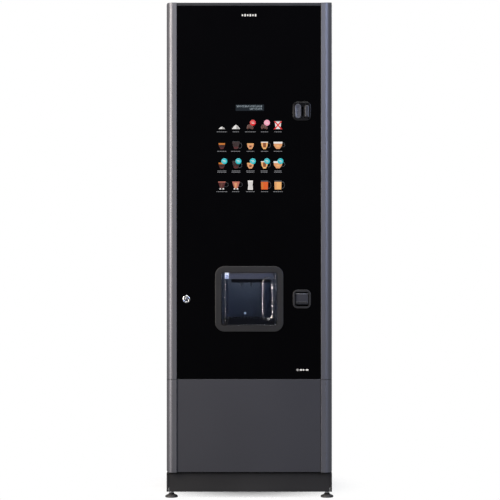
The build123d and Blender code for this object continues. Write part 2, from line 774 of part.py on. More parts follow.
# ---- Lock ------------------------------------------------------------------------------------
def make_lock():
    """Ring and barrel in the glass, the turning core with its cam, and the hooked lock bar."""
    barrel_end = glass_front + 24
    with BuildPart() as lock_housing:
        depth_rod(lock_x, lock_z, bezel_front, glass_front, lock_ring_radius)
        fillet(front_rim(lock_housing.part), 1.5)
        depth_rod(lock_x, lock_z, glass_front, barrel_end, barrel_radius)
        depth_rod(lock_x, lock_z, pan_back, pan_back + 4, lock_ring_radius)
        depth_rod(lock_x, lock_z, bezel_front, barrel_end, core_radius + running_fit, Mode.SUBTRACT)
    lock_housing.part.label = "lock_housing"
    export_step(lock_housing.part, "parts/lock_housing.step")

    with BuildPart() as lock_cylinder:
        depth_rod(lock_x, lock_z, bezel_front + 0.8, barrel_end + 0.5, core_radius)
        span_box(lock_x - 0.9, lock_x + 0.9, bezel_front, bezel_front + 4, lock_z - 4.5, lock_z + 4.5,
                 Mode.SUBTRACT)
        face_slab(lock_x - 3, lock_z, 22, 16, 7.5, barrel_end + 0.5, barrel_end + 4)
    lock_cylinder.part.label = "lock_cylinder"
    export_step(lock_cylinder.part, "parts/lock_cylinder.step")

    x0, x1 = bar_left, bar_left + bar_width
    y0 = door_back - 14
    keeper_back = cabinet_front + sheet + 3
    pieces = [plain_block(x0, x1, y0, y0 + bar_thickness, hook_levels[0] - 30, hook_levels[1] + 30)]
    for level in hook_levels:
        pieces.append(plain_block(x0, x1, y0 + bar_thickness, keeper_back + 5, level, level + 4))
        pieces.append(plain_block(x0, x1, keeper_back + 1, keeper_back + 5, level - 14, level))
    export_welded("lock_bar", pieces)


# ---- Display and selection board -------------------------------------------------------------
def make_display_module():
    """Two-line character display behind the glass."""
    with BuildPart() as display_module:
        face_slab(0, display_z, display_width, display_height, 2, glass_back, glass_back + 12)
        face_slab(0, display_z, display_width - 20, display_height - 12, 1, glass_back + 12,
                  glass_back + 16)
    display_module.part.label = "display_module"
    export_step(display_module.part, "parts/display_module.step")


def make_selection_board():
    """Touch board with its light boxes, one block behind each row of selections."""
    rows = 4
    middle = (board_bottom + board_top) / 2
    height = board_top - board_bottom
    with BuildPart() as selection_board:
        face_slab(0, middle, board_width, height, 4, glass_back, glass_back + 6)
        with BuildSketch(front_plane(glass_back + 14)):
            with Locations((0, middle)):
                with GridLocations(1, height / rows, 1, rows):
                    Rectangle(board_width - 24, height / rows - 16)
        extrude(amount=8)
    selection_board.part.label = "selection_board"
    export_step(selection_board.part, "parts/selection_board.step")


# ---- Units in the cabinet --------------------------------------------------------------------
def canister_x(number):
    """Middle of a canister's bay, counted from 1 at the left."""
    return bays_left + (number - 0.5) * bay_pitch


def make_component_shelf():
    """Shelf across the cabinet that carries the ingredients, with holes for what drops through."""
    y1 = cabinet_back - sheet
    with BuildPart() as component_shelf:
        span_box(-inner_wall, inner_wall, shelf_front, y1, shelf_z - sheet, shelf_z)
        span_box(-inner_wall, inner_wall, shelf_front, shelf_front + sheet, shelf_z - 30, shelf_z - sheet)
        upright_rod(turret_x, drop_y, shelf_z - sheet, shelf_z, chute_radius() + 3 * edge_gap,
                    Mode.SUBTRACT)
        upright_rod(hopper_x, turret_y, shelf_z - sheet, shelf_z, 14, Mode.SUBTRACT)
    component_shelf.part.label = "component_shelf"
    export_step(component_shelf.part, "parts/component_shelf.step")


def chute_radius():
    """Outer radius of the cup chute, whose bore matches the cup tubes."""
    return tube_radius - tube_wall + 4.0


def make_cup_dispenser():
    """Cup dropping unit on the shelf with the turret's spindle, and the chute below the shelf."""
    body_top = shelf_z + dispenser_height
    bore = tube_radius - tube_wall
    with BuildPart() as cup_dispenser:
        span_box(turret_x - 60, turret_x + 60, drop_y - 55, turret_y + 30, shelf_z, body_top)
        fillet(cup_dispenser.edges().filter_by(Axis.Z), 8)
        upright_rod(turret_x, drop_y, shelf_z - 1, body_top + 1, bore, Mode.SUBTRACT)
        upright_rod(turret_x, turret_y, body_top, body_top + 2, spindle_radius + 6)
        upright_rod(turret_x, turret_y, body_top, body_top + turret_height, spindle_radius)
        chute_end = station_top + 30.0
        for radius, cut in ((chute_radius(), Mode.ADD), (bore, Mode.SUBTRACT)):
            with BuildSketch(Plane.XY.offset(shelf_z)):
                with Locations((turret_x, drop_y)):
                    Circle(radius)
            with BuildSketch(Plane.XY.offset(chute_end)):
                with Locations((turret_x / 4, drop_y - 40)):
                    Circle(radius)
            loft(mode=cut)
    cup_dispenser.part.label = "cup_dispenser"
    export_step(cup_dispenser.part, "parts/cup_dispenser.step")


def make_cup_turret():
    """Carousel of cup tubes on a hub that turns on the dispenser's spindle."""
    z0 = shelf_z + dispenser_height + 2.3
    z1 = z0 + turret_height - 30
    ring = turret_radius - tube_radius - 3.0
    with BuildPart() as cup_turret:
        for z in (z0, z0 + turret_height / 2):
            upright_rod(turret_x, turret_y, z, z + 4, turret_radius)
        upright_rod(turret_x, turret_y, z0, z1, spindle_radius + 5)
        with Locations((turret_x, turret_y, (z0 + z1) / 2)):
            with PolarLocations(ring, tube_count, start_angle=-90):
                Cylinder(tube_radius, z1 - z0)
        with Locations((turret_x, turret_y, (z0 + z1) / 2)):
            with PolarLocations(ring, tube_count, start_angle=-90):
                Cylinder(tube_radius - tube_wall, z1 - z0, mode=Mode.SUBTRACT)
        upright_rod(turret_x, turret_y, z0, z1, spindle_radius + running_fit, Mode.SUBTRACT)
    cup_turret.part.label = "cup_turret"
    export_step(cup_turret.part, "parts/cup_turret.step")


def add_lid_ears(x, width, y, z):
    """Two lugs behind a box's rim with a cross hole for its lid's pin."""
    for side in (-1, 1):
        ear = sorted((x + side * (width / 2 - 4), x + side * (width / 2 - 12)))
        span_box(*ear, y, y + 12, z - 24, z + lid_pin_radius + 1.2)
        cross_rod(y + 6, z, *ear, lid_pin_radius + running_fit, Mode.SUBTRACT)


def make_lid(name, x, width, y0, y1, z):
    """Flat lid with a finger lip, a rear tab and the pin that it hinges on."""
    tab = width / 2 - 12.5
    with BuildPart() as lid:
        span_box(x - width / 2, x + width / 2, y0, y1 - 1.5, z + 0.4, z + lid_thickness)
        fillet(lid.edges().filter_by(Axis.Z).group_by(Axis.Y)[0], 6)
        span_box(x - 16, x + 16, y0 - 8, y0, z + 0.4, z + 3)
        span_box(x - tab, x + tab, y1 - 1.5, y1 + 1.2, z + 0.4, z + lid_thickness)
        span_box(x - tab, x + tab, y1 + 1.2, y1 + 9, z - 2.5, z + lid_thickness)
        cross_rod(y1 + 6, z, x - width / 2 + 4.5, x + width / 2 - 4.5, lid_pin_radius)
    lid.part.label = name
    export_step(lid.part, f"parts/{name}.step")


def make_canisters():
    """Ingredient canisters with a trough, an outlet nose, a lid and a dosing auger each."""
    for number in range(1, canister_count + 1):
        x = canister_x(number)
        half = canister_width / 2
        nose = canister_front - 26
        with BuildPart() as canister:
            span_box(x - half, x + half, canister_front, canister_back, shelf_z, canister_top)
            fillet(canister.edges().filter_by(Axis.Z), 5)
            depth_rod(x, auger_z, nose, canister_front, trough_radius + 3)
            upright_rod(x, nose + 12, shelf_z + 4, auger_z, 11)
            span_box(x - half + canister_wall, x + half - canister_wall, canister_front + canister_wall,
                     canister_back - canister_wall, auger_z + 18, canister_top + 1, Mode.SUBTRACT)
            span_box(x - trough_radius, x + trough_radius, canister_front + canister_wall,
                     canister_back - canister_wall, auger_z, auger_z + 18, Mode.SUBTRACT)
            depth_rod(x, auger_z, nose + 2, canister_back - canister_wall, trough_radius, Mode.SUBTRACT)
            upright_rod(x, nose + 12, shelf_z + 4, auger_z, 8.5, Mode.SUBTRACT)
            depth_rod(x, auger_z, nose, canister_back, auger_shaft + running_fit, Mode.SUBTRACT)
            add_lid_ears(x, canister_width, canister_back, canister_top)
        canister.part.label = f"canister_{number}"
        export_step(canister.part, f"parts/canister_{number}.step")
        make_lid(f"canister_lid_{number}", x, canister_width, canister_front, canister_back, canister_top)

        with BuildPart() as auger:
            depth_rod(x, auger_z, nose - 4, canister_back + 14, auger_shaft)
            flights = 14
            reach = canister_depth - 2 * canister_wall - 12
            for flight in range(flights):
                y = canister_front + canister_wall + 6 + flight * reach / (flights - 1)
                with Locations(Location((x, y, auger_z), (78, 0, 0))):
                    Cylinder(auger_radius, 2.5)
            depth_rod(x, auger_z, canister_back + 0.5, canister_back + 10, 9)
        auger.part.label = f"auger_{number}"
        export_step(auger.part, f"parts/auger_{number}.step")


def make_bean_hopper():
    """Bean box that narrows to the grinder's mouth."""
    half = canister_width / 2
    waist = hopper_bottom + 110.0
    middle = (canister_front + canister_back) / 2
    with BuildPart() as bean_hopper:
        span_box(hopper_x - half, hopper_x + half, canister_front, canister_back, waist, hopper_top)
        for shrink, cut in ((0.0, Mode.ADD), (2 * canister_wall, Mode.SUBTRACT)):
            with BuildSketch(Plane.XY.offset(hopper_bottom)):
                with Locations((hopper_x, turret_y)):
                    Rectangle(50 - shrink, 50 - shrink)
            with BuildSketch(Plane.XY.offset(waist)):
                with Locations((hopper_x, middle)):
                    Rectangle(2 * half - shrink, canister_depth - shrink)
            loft(mode=cut)
        span_box(hopper_x - half + canister_wall, hopper_x + half - canister_wall,
                 canister_front + canister_wall, canister_back - canister_wall, waist, hopper_top,
                 Mode.SUBTRACT)
        add_lid_ears(hopper_x, canister_width, canister_back, hopper_top)
    bean_hopper.part.label = "bean_hopper"
    export_step(bean_hopper.part, "parts/bean_hopper.step")
    make_lid("hopper_lid", hopper_x, canister_width, canister_front, canister_back, hopper_top)


def make_coffee_grinder():
    """Grinder under the hopper: motor, burr housing, neck and adjusting ring."""
    radius = min(42.0, canister_width / 2)
    with BuildPart() as coffee_grinder:
        upright_rod(hopper_x, turret_y, shelf_z, shelf_z + 70, radius)
        upright_rod(hopper_x, turret_y, shelf_z + 70, shelf_z + 84, radius - 4)
        upright_rod(hopper_x, turret_y, shelf_z + 84, shelf_z + 100, radius - 1)
        upright_rod(hopper_x, turret_y, shelf_z + 100, hopper_bottom, 30)
        chamfer(coffee_grinder.edges().filter_by(GeomType.CIRCLE).sort_by(Axis.Z)[0], 1.5)
        span_box(hopper_x - 30, hopper_x + 30, turret_y + radius - 14, turret_y + radius + 50, shelf_z,
                 shelf_z + 60)
        upright_rod(hopper_x, turret_y, shelf_z - 30, shelf_z, 12)
    coffee_grinder.part.label = "coffee_grinder"
    export_step(coffee_grinder.part, "parts/coffee_grinder.step")


def make_brew_group():
    """Brewing frame hung under the shelf with the coffee chamber, and the piston above the chamber."""
    half = canister_width / 2
    x0, x1 = hopper_x - half, hopper_x + half
    y0, y1 = turret_y - 90, turret_y + 70
    block_top = shelf_z - 150.0
    bore_y = turret_y - 45.0
    with BuildPart() as brew_group:
        span_box(x0, x1, y1 - 6, y1, shelf_z - 330, shelf_z - sheet)
        span_box(x0, x1, y0 + 10, y1, shelf_z - 42, shelf_z - 34)
        span_box(x0, x1, y0 + 10, y1, block_top - 90, block_top)
        fillet(brew_group.edges().filter_by(Axis.Z).group_by(Axis.Y)[0], 6)
        upright_rod(hopper_x, bore_y, block_top - 110, block_top - 90, 12)
        upright_rod(hopper_x, bore_y, block_top - 80, block_top, bore_radius, Mode.SUBTRACT)
        upright_rod(hopper_x, bore_y, block_top - 111, block_top - 79, 4, Mode.SUBTRACT)
        upright_rod(hopper_x, bore_y, shelf_z - 42, shelf_z - 34, 8 + running_fit, Mode.SUBTRACT)
        upright_rod(hopper_x, turret_y, shelf_z - 42, shelf_z - 34, 14, Mode.SUBTRACT)
    brew_group.part.label = "brew_group"
    export_step(brew_group.part, "parts/brew_group.step")

    with BuildPart() as brew_piston:
        upright_rod(hopper_x, bore_y, block_top - 18, block_top + 14, bore_radius - running_fit)
        chamfer(brew_piston.edges().sort_by(Axis.Z)[0], 1.5)
        upright_rod(hopper_x, bore_y, block_top + 14, shelf_z - 8, 8)
        upright_rod(hopper_x, bore_y, block_top + 14, block_top + 22, 13)
    brew_piston.part.label = "brew_piston"
    export_step(brew_piston.part, "parts/brew_piston.step")


def make_mixing_bowls():
    """Mixing bowls under the canister outlets, each with its motor, on a rail below the shelf."""
    bowl_y = canister_front - 14
    rail_y = canister_front + 34
    with BuildPart() as mixing_bowls:
        span_box(canister_x(1) - 35, canister_x(canister_count) + 35, rail_y, rail_y + 4,
                 shelf_z - 180, shelf_z - sheet)
        for number in range(1, canister_count + 1):
            x = canister_x(number)
            with Locations((x, bowl_y, shelf_z - 80)):
                Cone(17, 29, 60)
            depth_rod(x, shelf_z - 100, bowl_y, rail_y, 15)
            upright_rod(x, bowl_y - 4, shelf_z - 135, shelf_z - 108, 6)
            with Locations((x, bowl_y, shelf_z - 77)):
                Cone(14.5, 26.5, 60, mode=Mode.SUBTRACT)
            upright_rod(x, bowl_y - 4, shelf_z - 136, shelf_z - 100, 4, Mode.SUBTRACT)
            depth_rod(x, shelf_z - 100, rail_y + 4, rail_y + 60, 22)
    mixing_bowls.part.label = "mixing_bowls"
    export_step(mixing_bowls.part, "parts/mixing_bowls.step")


def make_boiler():
    """Water boiler with domed ends, pipe stubs and two straps to the back panel."""
    y = cabinet_back - 40.0 - boiler_radius
    top = boiler_z + boiler_height
    with BuildPart() as boiler:
        upright_rod(turret_x, y, boiler_z, top, boiler_radius)
        fillet(boiler.edges().filter_by(GeomType.CIRCLE), 18)
        for x in (-25, 0, 25):
            upright_rod(turret_x + x, y, top - 3, top + 18, 6)
            upright_rod(turret_x + x, y, top + 18, top + 26, 9)
        upright_rod(turret_x, y, boiler_z - 16, boiler_z + 3, 10)
        for z in (boiler_z + 50, top - 70):
            upright_rod(turret_x, y, z, z + 20, boiler_radius + 2)
            span_box(turret_x - 15, turret_x + 15, y + boiler_radius - 6, cabinet_back, z, z + 20)
    boiler.part.label = "boiler"
    export_step(boiler.part, "parts/boiler.step")


def make_control_box():
    """Electronics box on the right side panel with a lid step and connector row."""
    x1 = inner_wall
    x0 = x1 - 110.0
    y0, y1 = cabinet_back - 260.0, cabinet_back - 60.0
    z0 = base_top + 250.0
    with BuildPart() as control_box:
        span_box(x0 + 4, x1, y0, y1, z0, z0 + 320)
        span_box(x0, x0 + 4, y0 - 3, y1 + 3, z0 - 3, z0 + 323)
        for row in range(6):
            span_box(x0 + 30, x0 + 60, y0 - 8, y0, z0 + 30 + row * 45, z0 + 55 + row * 45)
    control_box.part.label = "control_box"
    export_step(control_box.part, "parts/control_box.step")


def make_waste_bin():
    """Open bucket for spent grounds and drain water, standing on the base deck."""
    x0 = 30.0 - half_width
    x1 = x0 + bin_width
    y0, y1 = shelf_front, shelf_front + 260.0
    with BuildPart() as waste_bin:
        span_box(x0, x1, y0, y1, base_top, base_top + bin_height)
        fillet(waste_bin.edges().filter_by(Axis.Z), 20)
        extrude(offset(waste_bin.faces().sort_by(Axis.Z)[-1], amount=-3, mode=Mode.PRIVATE),
                amount=3 - bin_height, mode=Mode.SUBTRACT)
        span_box(x0 + 90, x1 - 90, y0 - 12, y0, base_top + bin_height - 40, base_top + bin_height - 30)
    waste_bin.part.label = "waste_bin"
    export_step(waste_bin.part, "parts/waste_bin.step")


def main():
    """Make every piece and write it to its own file."""
    os.makedirs("parts", exist_ok=True)
    make_base_frame()
    make_plinth_panel()
    make_feet()
    make_side_panels()
    make_top_panel()
    make_back_panel()
    make_panel_screws()
    make_power_inlet()
    make_hinge_brackets()
    make_lock_keepers()
    make_posts()
    make_top_rail()
    make_door_pan()
    make_front_glass()
    make_lower_panel()
    make_door_gasket()
    make_cup_bezel()
    make_cup_door()
    make_cup_chamber()
    make_spout_cover()
    make_drip_tray()
    make_drip_grille()
    make_coin_bezel()
    make_reject_lever()
    make_coin_mechanism()
    make_coin_return_cup()
    make_return_flap()
    make_lock()
    make_display_module()
    make_selection_board()
    make_component_shelf()
    make_cup_dispenser()
    make_cup_turret()
    make_canisters()
    make_bean_hopper()
    make_coffee_grinder()
    make_brew_group()
    make_mixing_bowls()
    make_boiler()
    make_control_box()
    make_waste_bin()


main()
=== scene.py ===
"""Looks of a floor-standing hot drinks vending machine, built round its fixed mechanical frame.

Units are metres, +Z is up and the door faces -Y. Every piece takes its place from the frame's own boxes.
"""
import json
import logging
import math
import random
from dataclasses import dataclass, field
from enum import Enum
from typing import Any, Sequence

import bmesh
import bpy
from mathutils import Matrix, Vector


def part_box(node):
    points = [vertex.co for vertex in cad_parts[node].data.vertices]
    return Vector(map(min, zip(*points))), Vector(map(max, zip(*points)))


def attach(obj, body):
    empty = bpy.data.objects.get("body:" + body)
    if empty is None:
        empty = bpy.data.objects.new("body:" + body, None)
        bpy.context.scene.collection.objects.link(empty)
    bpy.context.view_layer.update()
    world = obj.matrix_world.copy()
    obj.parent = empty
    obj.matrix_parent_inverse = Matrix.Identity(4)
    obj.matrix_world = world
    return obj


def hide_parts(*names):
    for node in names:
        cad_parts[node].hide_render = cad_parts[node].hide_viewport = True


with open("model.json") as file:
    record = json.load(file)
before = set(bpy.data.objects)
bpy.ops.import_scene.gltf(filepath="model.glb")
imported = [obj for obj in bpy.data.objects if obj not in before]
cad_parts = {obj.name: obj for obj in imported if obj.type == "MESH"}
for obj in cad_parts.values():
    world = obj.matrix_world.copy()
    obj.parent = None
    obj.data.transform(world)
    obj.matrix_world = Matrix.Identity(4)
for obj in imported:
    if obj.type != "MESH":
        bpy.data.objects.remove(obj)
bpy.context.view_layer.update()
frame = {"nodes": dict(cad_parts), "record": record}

log = logging.getLogger("machine")
MM = 0.001
Colour = tuple[float, float, float, float]
Pair = tuple[float, float]


# ---- Colours and nodes -----------------------------------------------------------------------
def linear(code: str) -> Colour:
    """Turn an sRGB hex colour into the linear values that Blender's sockets hold.

    Args:
        code: Six hex digits, with or without a leading hash.

    Returns:
        Linear red, green, blue and an alpha of 1.
    """
    parts = [int(code.lstrip("#")[i:i + 2], 16) / 255 for i in (0, 2, 4)]
    red, green, blue = (c / 12.92 if c <= 0.04045 else ((c + 0.055) / 1.055) ** 2.4 for c in parts)
    return red, green, blue, 1.0


def add_node(tree: bpy.types.NodeTree, kind: str, settings: dict[str, Any] | None = None,
             links: dict[str, tuple[bpy.types.Node, str]] | None = None) -> bpy.types.Node:
    """Add a shader node, set its properties and sockets, and link what feeds it.

    Args:
        tree: The node tree to add to.
        kind: The node's type name.
        settings: Property or input name to value. An input may also be given by its index.
        links: Input name to a pair of source node and output name.

    Returns:
        The new node.
    """
    node = tree.nodes.new(kind)
    for key, value in (settings or {}).items():
        if isinstance(key, str) and hasattr(node, key):
            setattr(node, key, value)
        else:
            node.inputs[key].default_value = value
    for key, (source, output) in (links or {}).items():
        tree.links.new(source.outputs[output], node.inputs[key])
    return node


class Grain(Enum):
    """How a surface was made, as the stretch of its grain along X, Y and Z."""

    EVEN = (1.0, 1.0, 1.0)
    BRUSHED_UP = (1.0, 1.0, 0.02)
    BRUSHED_ACROSS = (0.02, 1.0, 1.0)


@dataclass(frozen=True)
class Finish:
    """One real material with the process that made its surface.

    Args:
        name: Material name, for the real material and process.
        base: Main sRGB colour.
        shade: Second sRGB colour, for the slow variation over the surface.
        roughness: Mean roughness.
        metallic: 1 for bare metal.
        grain: Direction of the grain.
        grain_mm: Size of one grain.
        bump_mm: Height of the grain.
        patch_mm: Size of the slow patches of colour and gloss.
        uneven: How far the roughness swings either way.
        ior: Index of refraction of a non-metal.
        clear: Share of light let through.
        glow: Strength of its own light.
        lit: sRGB colour of its own light.
        dust: Share of pale dust on faces that look up.
    """

    name: str
    base: str
    shade: str
    roughness: float
    metallic: float = 0.0
    grain: Grain = Grain.EVEN
    grain_mm: float = 1.0
    bump_mm: float = 0.02
    patch_mm: float = 160.0
    uneven: float = 0.05
    ior: float = 1.5
    clear: float = 0.0
    glow: float = 0.0
    lit: str = "ffffff"
    dust: float = 0.0

    def material(self) -> bpy.types.Material:
        """Return this finish's node material, made once.

        Returns:
            The material.
        """
        known = bpy.data.materials.get(self.name)
        if known:
            return known
        made = bpy.data.materials.new(self.name)
        made.use_nodes = True
        tree = made.node_tree
        tree.nodes.clear()
        place = add_node(tree, "ShaderNodeTexCoord")
        stretch = add_node(tree, "ShaderNodeMapping", {"Scale": self.grain.value},
                           {"Vector": (place, "Object")})
        fine = add_node(tree, "ShaderNodeTexNoise", {"Scale": 1000 / self.grain_mm, "Detail": 3.0},
                        {"Vector": (stretch, "Vector")})
        slow = add_node(tree, "ShaderNodeTexNoise", {"Scale": 1000 / self.patch_mm, "Detail": 4.0},
                        {"Vector": (place, "Object")})
        both = add_node(tree, "ShaderNodeMix", {"data_type": "FLOAT", 0: 0.35},
                        {2: (slow, "Fac"), 3: (fine, "Fac")})
        gloss = add_node(tree, "ShaderNodeMapRange",
                         {"From Min": 0.3, "From Max": 0.7, "To Min": max(0.0, self.roughness - self.uneven),
                          "To Max": min(1.0, self.roughness + self.uneven)}, {"Value": (both, 0)})
        tint = add_node(tree, "ShaderNodeMix", {"data_type": "RGBA", 6: linear(self.base),
                                                7: linear(self.shade)},
                        {0: (both, 0)})
        bump = add_node(tree, "ShaderNodeBump", {"Strength": 1.0, "Distance": self.bump_mm * MM},
                        {"Height": (fine, "Fac")})
        colour = self.dusted(tree, tint) if self.dust else (tint, 2)
        shader = add_node(tree, "ShaderNodeBsdfPrincipled", {"Metallic": self.metallic, "IOR": self.ior},
                          {"Base Color": colour, "Roughness": (gloss, "Result"), "Normal": (bump, "Normal")})
        if self.clear:
            shader.inputs["Transmission Weight"].default_value = self.clear
        if self.glow:
            shader.inputs["Emission Color"].default_value = linear(self.lit)
            shader.inputs["Emission Strength"].default_value = self.glow
        add_node(tree, "ShaderNodeOutputMaterial", links={"Surface": (shader, "BSDF")})
        made.diffuse_color = linear(self.base)
        return made

    def dusted(self, tree: bpy.types.NodeTree, tint: bpy.types.Node) -> tuple[bpy.types.Node, int]:
        """Lay thin pale dust on faces that look up.

        Args:
            tree: The material's tree.
            tint: The node that holds the clean colour.

        Returns:
            The mixing node and its output.
        """
        shape = add_node(tree, "ShaderNodeNewGeometry")
        axes = add_node(tree, "ShaderNodeSeparateXYZ", links={"Vector": (shape, "Normal")})
        share = add_node(tree, "ShaderNodeMapRange", {"From Min": 0.6, "From Max": 1.0, "To Max": self.dust},
                         {"Value": (axes, "Z")})
        return add_node(tree, "ShaderNodeMix", {"data_type": "RGBA", 7: linear("8d8a84")},
                        {0: (share, "Result"), 6: (tint, 2)}), 2


# ---- Finishes of the shell -------------------------------------------------------------------
# Anodised extrusion: drawn lengthways, so its sheen runs in fine upright lines.
POST_METAL = Finish("anodised aluminium, anthracite", "6a6b70", "616267", 0.47, 0.8, Grain.BRUSHED_UP, 3.0,
                    0.003, 300, 0.04)
# Metallic lacquer on sheet: a soft sparkle from flakes, drawn coarser than real so that it shows.
PANEL_METAL = Finish("metallic lacquer on sheet steel, anthracite", "44454a", "3d3e43", 0.46, 0.6, Grain.EVEN,
                     2.4, 0.02, 260, 0.05)
# The rail's anodising is a darker batch than the posts'.
RAIL_METAL = Finish("anodised aluminium, dark anthracite", "38393c", "323336", 0.42, 0.7,
                    Grain.BRUSHED_ACROSS, 3.0, 0.003, 300, 0.04)
# Powder coat: a fine orange peel that breaks up reflections.
CABINET_PAINT = Finish("textured powder coat, graphite", "3b3c40", "35363a", 0.55, 0.0, Grain.EVEN, 1.6, 0.05,
                       420, 0.07, dust=0.10)
BASE_PAINT = Finish("powder coat on the base, black", "111112", "0d0d0e", 0.58, 0.0, Grain.EVEN, 1.6, 0.04,
                    200, 0.08, dust=0.06)
# Float glass printed black on its back: deep black with a hard clear reflection.
BLACK_GLASS = Finish("back-printed float glass, black", "020203", "040405", 0.045, 0.0, Grain.EVEN, 60.0, 0.0,
                     350, 0.012)
SEAL_RUBBER = Finish("extruded EPDM rubber, black", "161616", "1c1c1c", 0.78, 0.0, Grain.EVEN, 0.8, 0.02, 60)
FOOT_RUBBER = Finish("moulded rubber, black", "2c2c2c", "242424", 0.62, 0.0, Grain.EVEN, 1.0, 0.03, 30, 0.08,
                     dust=0.12)
GALVANISED = Finish("galvanised sheet steel", "9a9da1", "868a90", 0.42, 0.9, Grain.EVEN, 14.0, 0.01, 45, 0.12)
ZINC = Finish("zinc-plated steel", "a9abad", "96999d", 0.36, 0.95, Grain.EVEN, 1.5, 0.01, 30, 0.08)
STAINLESS = Finish("brushed stainless steel", "a8a8a7", "9b9b9b", 0.3, 1.0, Grain.BRUSHED_ACROSS, 1.0, 0.006,
                   90)
CHROME = Finish("polished chrome plating", "d4d6d8", "c6c9cc", 0.08, 1.0, Grain.EVEN, 3.0, 0.002, 20, 0.03)
BRASS = Finish("nickel-plated brass", "a4a8b0", "8e929b", 0.3, 1.0, Grain.EVEN, 0.6, 0.006, 8, 0.08)

# ---- Finishes of the plastics ----------------------------------------------------------------
# Spark-eroded moulds leave an even satin grain on ABS.
BEZEL_ABS = Finish("satin ABS, charcoal", "0b0b0c", "09090a", 0.5, 0.0, Grain.EVEN, 0.7, 0.02, 60, 0.05)
GLOSS_ABS = Finish("gloss ABS, charcoal", "0f0f10", "0c0c0d", 0.24, 0.0, Grain.EVEN, 0.9, 0.004, 40, 0.04)
CHAMBER_ABS = Finish("satin ABS, slate blue", "4f5661", "444b56", 0.36, 0.0, Grain.EVEN, 0.9, 0.02, 70, 0.08)
HEADER_ABS = Finish("satin ABS, mid grey", "b4b1b0", "a7a4a3", 0.4, 0.0, Grain.EVEN, 0.7, 0.015, 50)
GRILLE_ABS = Finish("satin ABS, black", "151619", "111215", 0.38, 0.0, Grain.EVEN, 0.7, 0.02, 40, 0.07)
INSERT_ABS = Finish("sparkled ABS, blue grey", "3d404b", "1e2025", 0.34, 0.0, Grain.EVEN, 3.2, 0.02, 6, 0.12)
FLAP_ABS = Finish("satin ABS, dark grey", "2c2d33", "26272c", 0.34, 0.0, Grain.EVEN, 0.8, 0.01, 20)
GREY_ABS = Finish("moulded ABS, grey", "6c6f73", "626569", 0.5, 0.0, Grain.EVEN, 0.9, 0.03, 90)
BLACK_ABS = Finish("moulded ABS, black", "1c1c1e", "242426", 0.5, 0.0, Grain.EVEN, 0.9, 0.03, 90, 0.07)
WHITE_PP = Finish("moulded polypropylene, white", "d9d8d2", "cbc9c1", 0.42, 0.0, Grain.EVEN, 1.2, 0.02, 60)
BIN_PP = Finish("moulded polypropylene, dark grey", "35363a", "2d2e32", 0.55, 0.0, Grain.EVEN, 1.4, 0.03, 110)
CANISTER_PP = Finish("natural polypropylene, milky", "dcdad0", "cfccbf", 0.36, 0.0, Grain.EVEN, 1.5, 0.02,
                     120, 0.05, 1.49, 0.25)
SMOKED_PC = Finish("smoked polycarbonate", "6b5a4c", "5f5044", 0.08, 0.0, Grain.EVEN, 8.0, 0.002, 120, 0.03,
                   1.58, 0.75)
TUBE_PC = Finish("clear polycarbonate tube", "dfe4ea", "d3dae2", 0.06, 0.0, Grain.EVEN, 8.0, 0.002, 90, 0.03,
                 1.58, 0.85)
CIRCUIT = Finish("solder-masked circuit board", "1d4a35", "173d2b", 0.38, 0.0, Grain.EVEN, 2.5, 0.03, 12, 0.1)


def dress(node: str, finish: Finish) -> None:
    """Give a mechanical node its finish.

    Args:
        node: The node's name.
        finish: What it is made of.
    """
    mesh = frame["nodes"][node].data
    mesh.materials.clear()
    mesh.materials.append(finish.material())


